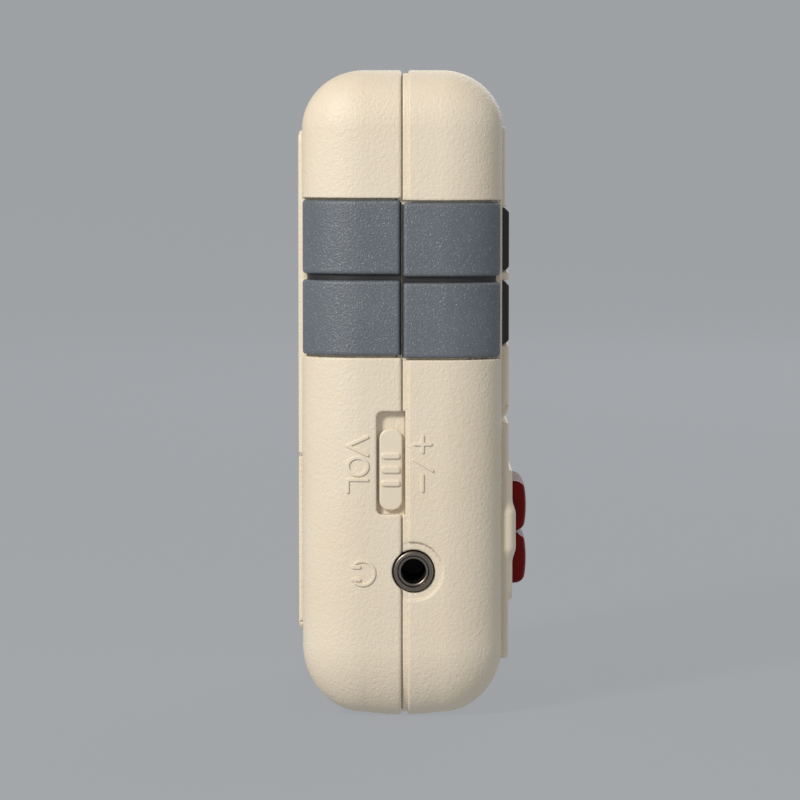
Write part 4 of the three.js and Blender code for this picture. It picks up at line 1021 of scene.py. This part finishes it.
def door_outline(p, pin, outer, inner, top, outward):
    """The side outline of a door, a plate that ends in a round edge about its pin, and its bore."""
    y, z = p[:, 1], p[:, 2]
    _, pivot_y, pivot_z = centre_of(pin)
    thick = np.maximum((y - outer) * outward, (inner - y) * outward)
    plate = np.maximum(np.maximum(pivot_z - z, z - top), thick)
    away = np.hypot(y - pivot_y, z - pivot_z)
    edge = np.maximum(away - DOOR_EDGE, (pivot_y - y) * outward)
    edge = np.maximum(edge, z - pivot_z - 0.01)
    return smooth_min(np.minimum(plate, edge), away - BARREL, 0.25), away - PIN_BORE


PANES = ((lower_pane_low, lower_pane_high), (pane_low, pane_high))


def cassette_door_field(p):
    x, y, z = p.T
    outline, bore = door_outline(
        p, "cassette_door_pin", FRONT_FIELD, FRONT_FIELD + 2.7, door_high[2], -1)
    body = smooth_max(outline, np.abs(x) - door_high[0], 0.5)
    thin = np.maximum(pane_high[2] + 0.35 - z, y - (FRONT_FACE - 0.3))
    body = cut(body, thin, 0.5)
    for low, high in PANES:
        seat = np.maximum(np.maximum(low[2] - 0.2 - z, z - high[2] - 0.2), y - (high[1] + 0.2))
        body = cut(body, seat, 0.2)
        hole = prism_field(p, 1, (-21, -FAR, low[2] + 1.0), (21, FAR, high[2] - 1.0), 0.8, 0.1)
        body = cut(body, hole, 0.3)
    thumb = disc_field(p, 1, (0, door_high[2] + 4.6), -FAR, FRONT_FACE + 0.5, 7.0, 0.3)
    body = cut(body, thumb, 0.4)
    return cut(body, bore, 0.15)


def make_cassette_door():
    zs = [(door_low[2] - 0.2, door_low[2] + 4.8, 0.2),
          (door_high[2] - 2.6, door_high[2] + 0.2, 0.22)]
    for low, high in PANES:
        zs += [(low[2] - 0.6, low[2] + 1.4, 0.2), (high[2] - 1.4, high[2] + 0.6, 0.2)]
    xs = [near(s * a, 0.6, step) for s in (-1, 1) for a, step in ((25, 0.2), (21, 0.25))]
    xs += [(-7.0, 7.0, 0.35)]
    axes = grid_axes(door_low, door_high, (0.8, 0.22, 0.7), (xs, (), zs))
    door = skin("door_cassette", cassette_door_field, axes)
    finish_piece(door, CREAM_SMOOTH, "cream_case", "cassette_door_body", "cassette_door")


make_cassette_door()


def make_pane(node, name):
    """A smoked bar with chamfered long edges."""
    low, high = span(node)

    def field(p):
        y, z = p[:, 1], p[:, 2]
        body = box_field(p, low, high, 0.22)
        bevel = ((low[1] - y) + np.maximum(z - high[2], low[2] - z)) / math.sqrt(2) + 0.42
        return smooth_max(body, bevel, 0.15)

    xs = [(s * 25 - 0.5, s * 25 + 0.3, 0.12) for s in (-1, 1)]
    zs = [(low[2] - 0.2, low[2] + 1.0, 0.12), (high[2] - 1.0, high[2] + 0.2, 0.12)]
    axes = grid_axes(low, high, (1.2, 0.13, 0.6), (xs, (), zs))
    finish_piece(skin(name, field, axes), SMOKED, "smoked_window", "cassette_door_body", node)


make_pane("window_lower", "pane_lower")
make_pane("window_upper", "pane_upper")


FINGER_GROOVES = 4


def battery_door_field(p):
    outline, bore = door_outline(
        p, "battery_door_pin", REAR_FIELD, REAR_FIELD - 2.0, battery_high[2], 1)
    sides = prism_field(p, 1, (battery_low[0], -FAR, battery_low[2]),
                        (battery_high[0], FAR, battery_high[2] + 5), 3.0, 0.1)
    body = smooth_max(outline, np.maximum(sides, p[:, 2] - battery_high[2]), 0.5)
    for index in range(FINGER_GROOVES):
        z0 = battery_high[2] - 3.2 - index * 1.5
        groove = prism_field(p, 1, (-7, REAR_FIELD - 0.5, z0 - 0.35), (7, FAR, z0 + 0.35), 0.34, 0.1)
        body = cut(body, groove, 0.3)
    return cut(body, bore, 0.15)


def make_battery_door():
    xs = [(s * 24.3 - 0.6, s * 24.3 + 0.4, 0.2) for s in (-1, 1)]
    xs += [near(s * 7, 0.6, 0.25) for s in (-1, 1)]
    zs = [(battery_low[2] - 0.2, battery_low[2] + 4.6, 0.2),
          (battery_high[2] - 8.6, battery_high[2] + 0.2, 0.2)]
    axes = grid_axes(battery_low, battery_high, (0.8, 0.2, 0.8), (xs, (), zs))
    door = skin("door_battery", battery_door_field, axes)
    finish_piece(door, CREAM, "cream_case", "battery_door_body", "battery_door")


make_battery_door()

# ---------------------------------------------------------------- keys, slides, socket


CROWN_UP, CROWN_ACROSS = 0.0275, 0.0016  # how fast a key's face falls away, per millimetre squared


def make_key(node, name, body_name):
    """A red key: crowned face, rounded edges, skirt and stem."""
    low, high = span(node)
    centre, _, middle = centre_of(node)
    cap_back = FRONT_FACE + 1.3

    def field(p):
        x, y, z = p.T
        crown = low[1] + CROWN_UP * (z - middle) ** 2 + CROWN_ACROSS * (x - centre) ** 2
        cap = prism_field(p, 1, (low[0], low[1] - 3, low[2]), (high[0], cap_back, high[2]), 0.9, 0.2)
        cap = smooth_max(cap, crown - y, 1.5)
        stem = box_field(p, (centre - 2, cap_back - 1, middle - 2),
                         (centre + 2, high[1], middle + 2), 0.3)
        return smooth_min(cap, stem, 0.3)

    xs, zs = ([(low[d] - 0.2, low[d] + 1.4, 0.16), (high[d] - 1.4, high[d] + 0.2, 0.16)]
              for d in (0, 2))
    ys = [(low[1] - 0.2, low[1] + 2.2, 0.14)]
    axes = grid_axes(low, high, (0.5, 0.4, 0.4), (xs, ys, zs))
    finish_piece(skin(name, field, axes), RED, "red_key", body_name, node)


make_key("record_key", "key_record", "record_button")
make_key("play_key", "key_play", "play_button")


FINE = 0.11  # grid step of the smallest pieces


def make_knob(node, name, body_name, side):
    """A slide knob: soft-cornered block with three cross ridges, and its stem."""
    low, high = span(node)
    _, stem_y, middle = centre_of(node)
    top = HALF - 0.25

    def field(p):
        flipped = p * (side, 1, 1)
        body = prism_field(flipped, 0, (HALF - 1.1, low[1], low[2]),
                           (top - 0.25, high[1], high[2]), 1.5, 0.3)
        for index, half in ((-1, 0.42), (0, 0.5), (1, 0.42)):
            z0 = middle + index * 2.05
            ridge = prism_field(flipped, 0, (top - 1.0, low[1] + 0.35, z0 - half),
                                (top + 0.1, high[1] - 0.35, z0 + half), 0.4, 0.18)
            body = smooth_min(body, ridge, 0.22)
        stem = box_field(flipped, (HALF - 2.6, stem_y - 0.7, middle - 1.4),
                         (HALF - 0.9, stem_y + 0.7, middle + 1.4), 0.2)
        return smooth_min(body, stem, 0.15)

    axes = [np.arange(a - 0.4, b + 0.4 + FINE, FINE) for a, b in zip(low, high)]
    finish_piece(skin(name, field, axes), CONTROL, "cream_control", body_name, node)


make_knob("volume_knob", "knob_volume", "volume_slider", -1)
make_knob("wind_knob", "knob_wind", "wind_slider", 1)

JACK_BORE = 1.8
bore_lip = [(0, 0.7), (0.05, 0.5), (0.16, 0.38), (0.3, 0.34), (0.42, 0.36), (0.46, 0.44),
            (0.5, 0.36), (0.56, 0.06), (0.62, 0.0)]
outer_lip = [(-0.24, 0.0), (-0.1, 0.05), (-0.02, 0.15), (0.0, 0.3), (0.0, 3.0)]
sleeve_profile = [(JACK_BORE + wide, -HALF + deep) for wide, deep in bore_lip]
sleeve_profile += [(SOCKET_RADIUS + wide, -HALF + deep) for wide, deep in outer_lip]
sleeve_profile += [(JACK_BORE, -HALF + 3.0), sleeve_profile[0]]
sleeve = turned("socket_sleeve", 0, SOCKET, sleeve_profile)
finish_piece(sleeve, NICKEL, "socket_metal", "case", "earphone_socket_sleeve")

dome = [(0.0, 0.0), (0.4, 0.03), (0.8, 0.14), (1.02, 0.34), (1.1, 0.6)]
lens_profile = [(radius, lamp_low[1] + deep) for radius, deep in dome]
lens_profile += [(1.1, lamp_high[1]), (0.0, lamp_high[1])]
lens = turned("lamp_lens", 1, LAMP, lens_profile, 40)
finish_piece(lens, RED, "lamp_red", "case", "record_lamp")


SHANK = 4.0  # from the screw's face to its end


def make_screw(node, name):
    """A cross-recessed countersunk-rim screw head on its shank."""
    low, high = span(node)
    centre = centre_of(node)[[0, 2]]
    outer = high[1]

    def field(p):
        head = disc_field(p, 1, centre, outer - 0.9, outer, 2.0, 0.3)
        shank = disc_field(p, 1, centre, outer - SHANK, outer - 0.5, 0.9, 0.1)
        across, up = np.abs(p[:, 0] - centre[0]), np.abs(p[:, 2] - centre[1])
        deep = outer - 0.75 + np.hypot(across, up) * 0.35 - p[:, 1]
        arm_x = np.maximum(up - 0.2, across - 1.2)
        arm_z = np.maximum(across - 0.2, up - 1.2)
        recess = np.maximum(np.minimum(arm_x, arm_z), deep)
        return cut(np.minimum(head, shank), recess, 0.12)

    axes = [
        grid_lines(low[0] - 0.4, high[0] + 0.4, FINE),
        grid_lines(outer - 5.0, outer + 0.4, 0.5, [(outer - 1.2, outer + 0.2, FINE)]),
        grid_lines(low[2] - 0.4, high[2] + 0.4, FINE),
    ]
    finish_piece(skin(name, field, axes), STEEL, "steel", "case", node)


make_screw("case_screw_left", "screw_left")
make_screw("case_screw_right", "screw_right")

# ---------------------------------------------------------------- raised marks on the side

MARK_PROUD = 0.24
STROKE = 0.25


def strokes_field(p, lines, rings=()):
    """Raised strokes on the side face: lines and arcs in the (y, z) plane."""
    x, y, z = p.T
    flat = np.full_like(y, FAR)
    for start, end, width in lines:
        flat = np.minimum(flat, segment_field(y, z, start, end) - width)
    for (cy, cz), (ry, rz), gap, width in rings:
        around = (np.hypot((y - cy) / ry, (z - cz) / rz) - 1) * min(ry, rz)
        ring = np.abs(around) - width
        if gap is not None:
            ring = np.maximum(ring, y - gap)
        flat = np.minimum(flat, ring)
    outer = case_field(p) - MARK_PROUD
    a, b = flat + 0.1, outer + 0.1
    rounded = np.hypot(np.maximum(a, 0), np.maximum(b, 0)) + np.minimum(np.maximum(a, b), 0) - 0.1
    deep = -(case_field(p) + 0.25)
    return np.maximum(np.maximum(rounded, deep), x)


def make_mark(name, lines, rings, low, high):
    axes = [
        np.arange(-HALF - 0.5, -HALF + 1.0, 0.07),
        np.arange(low[0], high[0], 0.09),
        np.arange(low[1], high[1], 0.09),
    ]
    mark = skin(name, lambda p: strokes_field(p, lines, rings), axes)
    finish_piece(mark, CREAM_SMOOTH, "cream_case", "case")


def make_marks():
    """VOL beside the slide, plus and minus in front of it, and a headphone sign beside the socket."""
    foot, head = JOINT + 8.15, JOINT + 5.2
    letters = [
        ((head, 42.55), (foot, 41.2), STROKE), ((foot, 41.2), (head, 39.85), STROKE),
        ((foot, 36.15), (head, 36.15), STROKE), ((foot, 36.15), (foot, 34.35), STROKE),
    ]
    ring = [(((foot + head) / 2, 38.15), ((foot - head) / 2, 1.3), None, STROKE)]
    make_mark("mark_vol", letters, ring, (head - 0.8, 33.6), (foot + 0.8, 43.3))
    plus = [
        ((JOINT - 1.85, 41.45), (JOINT - 4.2, 41.45), STROKE),
        ((JOINT - 3.02, 42.65), (JOINT - 3.02, 40.3), STROKE),
        ((JOINT - 1.65, 39.15), (JOINT - 4.5, 37.5), STROKE * 0.8),
        ((JOINT - 3.0, 36.85), (JOINT - 3.0, 34.5), STROKE),
    ]
    make_mark("mark_plus_minus", plus, (), (JOINT - 5.1, 33.8), (JOINT - 1.1, 43.4))
    centre = (JOINT + 5.95, 22.15)
    pads = []
    for way in (-1, 1):
        z = centre[1] + way * 0.95
        pads.append(((centre[0] + 0.5, z), (centre[0] + 1.4, z), STROKE * 1.25))
    band = [(centre, (1.8, 1.8), centre[0] + 1.2, STROKE * 0.85)]
    make_mark("mark_earphone", pads, band,
              (centre[0] - 2.6, centre[1] - 2.6), (centre[0] + 2.4, centre[1] + 2.6))


make_marks()

# ---------------------------------------------------------------- cassette and cells

tape_low, tape_high = span("cassette_shell")
hub_x = centre_of("takeup_reel")[0]
hub_z = (tape_low[2] + tape_high[2]) / 2
LABEL_DEPTH = 0.18


def cassette_field(p):
    """The cassette: two thin halves, a long window, hub holes, label recess and mouths."""
    body = prism_field(p, 1, tape_low, tape_high, 1.0, 0.3)
    room = box_field(p, tape_low + 0.8, tape_high - 0.8, 0.2)
    body = cut(body, room, 0.1)
    thin = np.abs(p[:, 1] - (tape_low[1] + tape_high[1]) / 2) - 0.12
    seam = np.maximum(thin, -(box_field(p, tape_low, tape_high, 0.4) + 0.3))
    body = cut(body, seam, 0.1)
    for side in (-1, 1):
        body = cut(body, disc_field(p, 1, (side * hub_x, hub_z), -FAR, FAR, 3.4), 0.25)
    window = prism_field(p, 1, (-5.2, -FAR, hub_z - 2.6),
                         (5.2, tape_low[1] + 2, hub_z + 2.6), 0.8, 0.1)
    body = cut(body, window, 0.25)
    label = prism_field(p, 1, (-20.5, -FAR, hub_z - 9.5),
                        (20.5, tape_low[1] + LABEL_DEPTH, tape_high[2] - 2.2), 1.4, 0.05)
    body = cut(body, label, 0.12)
    for left, right, top in ((-5.5, 5.5, 3.8), (-16.7, -9.1, 3.8), (10.2, 18.8, 5.5)):
        mouth = prism_field(p, 1, (left, tape_low[1] + 1.3, tape_low[2] - 9),
                            (right, FAR, tape_low[2] + top), 0.5, 0.1)
        body = cut(body, mouth, 0.2)
    for sx, sz in ((-22.8, 2.4), (22.8, 2.4), (-22.8, 31.1), (22.8, 31.1), (0, 30.6)):
        screw = disc_field(p, 1, (sx, tape_low[2] + sz), -FAR, tape_low[1] + 0.35, 0.9)
        body = cut(body, screw, 0.12)
    return body


def paper_field(p):
    """The label, a sheet in its recess with room for the hubs and the window."""
    front = tape_low[1] + LABEL_DEPTH
    body = prism_field(p, 1, (-20.2, front - 0.12, hub_z - 9.2),
                       (20.2, front + 0.02, tape_high[2] - 2.5), 1.2, 0.02)
    for side in (-1, 1):
        body = cut(body, disc_field(p, 1, (side * hub_x, hub_z), -FAR, FAR, 4.3), 0.05)
    window = prism_field(p, 1, (-6.2, -FAR, hub_z - 3.4), (6.2, FAR, hub_z + 3.4), 1.0, 0.02)
    return cut(body, window, 0.05)


def make_cassette():
    xs = [near(s * hub_x, 3.8, 0.28) for s in (-1, 1)]
    xs += [(s * 25.1 - 3.4, s * 25.1 + 0.3, 0.25) for s in (-1, 1)] + [(-5.6, 5.6, 0.35)]
    ys = [(tape_low[1] - 0.2, tape_low[1] + 1.0, 0.14),
          (tape_high[1] - 0.9, tape_high[1] + 0.2, 0.2)]
    zs = [(tape_low[2] - 0.2, tape_low[2] + 5.8, 0.28), near(hub_z, 3.8, 0.28),
          (tape_high[2] - 3.6, tape_high[2] + 0.2, 0.25)]
    axes = grid_axes(tape_low, tape_high, (0.6, 0.5, 0.6), (xs, ys, zs))
    cassette = skin("cassette", cassette_field, axes)
    finish_piece(cassette, SMOKE_CASSETTE, "cassette_plastic", "case", "cassette_shell")
    front = tape_low[1] + LABEL_DEPTH
    axes = [
        grid_lines(-20.8, 20.8, 0.5, [near(s * hub_x, 4.6, 0.3) for s in (-1, 1)]),
        np.arange(front - 0.2, front + 0.12, 0.04),
        grid_lines(hub_z - 10, tape_high[2] - 2, 0.5, [near(hub_z, 4.6, 0.3)]),
    ]
    label = skin("cassette_label", paper_field, axes)
    finish_piece(label, LABEL, "cassette_plastic", "case")


make_cassette()


def make_cell(node, name, nipple_right):
    """A round cell: rolled jacket edges, flat end and raised end."""
    low, high = span(node)
    radius = (high[1] - low[1]) / 2
    tip, flat = (high[0], low[0]) if nipple_right else (low[0], high[0])
    way = 1 if nipple_right else -1
    shoulder = tip - way * 0.8
    profile = [(0.0, tip), (1.6, tip), (1.9, tip - way * 0.25), (1.9, shoulder)]
    jacket = [(1.2, 0.0), (0.9, 0.25), (0.45, 0.0), (0.1, 0.15), (0.0, 0.5)]
    profile += [(radius - inside, shoulder - way * deep) for inside, deep in jacket]
    rolled = [(0.0, 0.5), (0.15, 0.12), (0.5, 0.0), (0.9, 0.25)]
    profile += [(radius - inside, flat + way * deep) for inside, deep in rolled]
    profile += [(1.9, flat + way * 0.2), (0.0, flat + way * 0.02)]
    cell = turned(name, 0, centre_of(node)[1:], profile, 48)
    finish_piece(cell, JACKET, "cell_jacket", "case", node)


make_cell("battery_lower", "cell_lower", True)
make_cell("battery_upper", "cell_upper", False)

# ---------------------------------------------------------------- CAD pieces that stay

FINISHES = {
    STEEL: ["cassette_door_pin", "battery_door_pin", "motor"],
    PLATED: ["chassis_plate", "head_plate", "pinch_arm"],
    BRASS: ["flywheel_capstan", "motor_pulley"],
    SPRING: ["battery_contact_left", "battery_contact_right",
             "battery_spring_lower", "battery_spring_upper"],
    BLACK: ["volume_potentiometer", "wind_switch", "earphone_socket_body", "battery_bay",
            "erase_head", "speaker"],
    WHITE: ["takeup_spindle", "supply_spindle"],
    TAPE: ["takeup_reel", "supply_reel"],
    RUBBER: ["drive_belt", "pinch_roller"],
    NICKEL: ["playback_head", "microphone"],
    GREEN: ["main_board", "key_board"],
}


def dress(node, material):
    """Puts a material on a CAD node and breaks its sharp edges."""
    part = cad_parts[node]
    part.data.materials.clear()
    part.data.materials.append(material)
    bevel = part.modifiers.new("edges", "BEVEL")
    bevel.width = 0.08 * MM
    bevel.segments = 2
    bevel.limit_method = "ANGLE"
    bevel.angle_limit = math.radians(40)


for finish, names in FINISHES.items():
    for node_name in names:
        dress(node_name, finish)
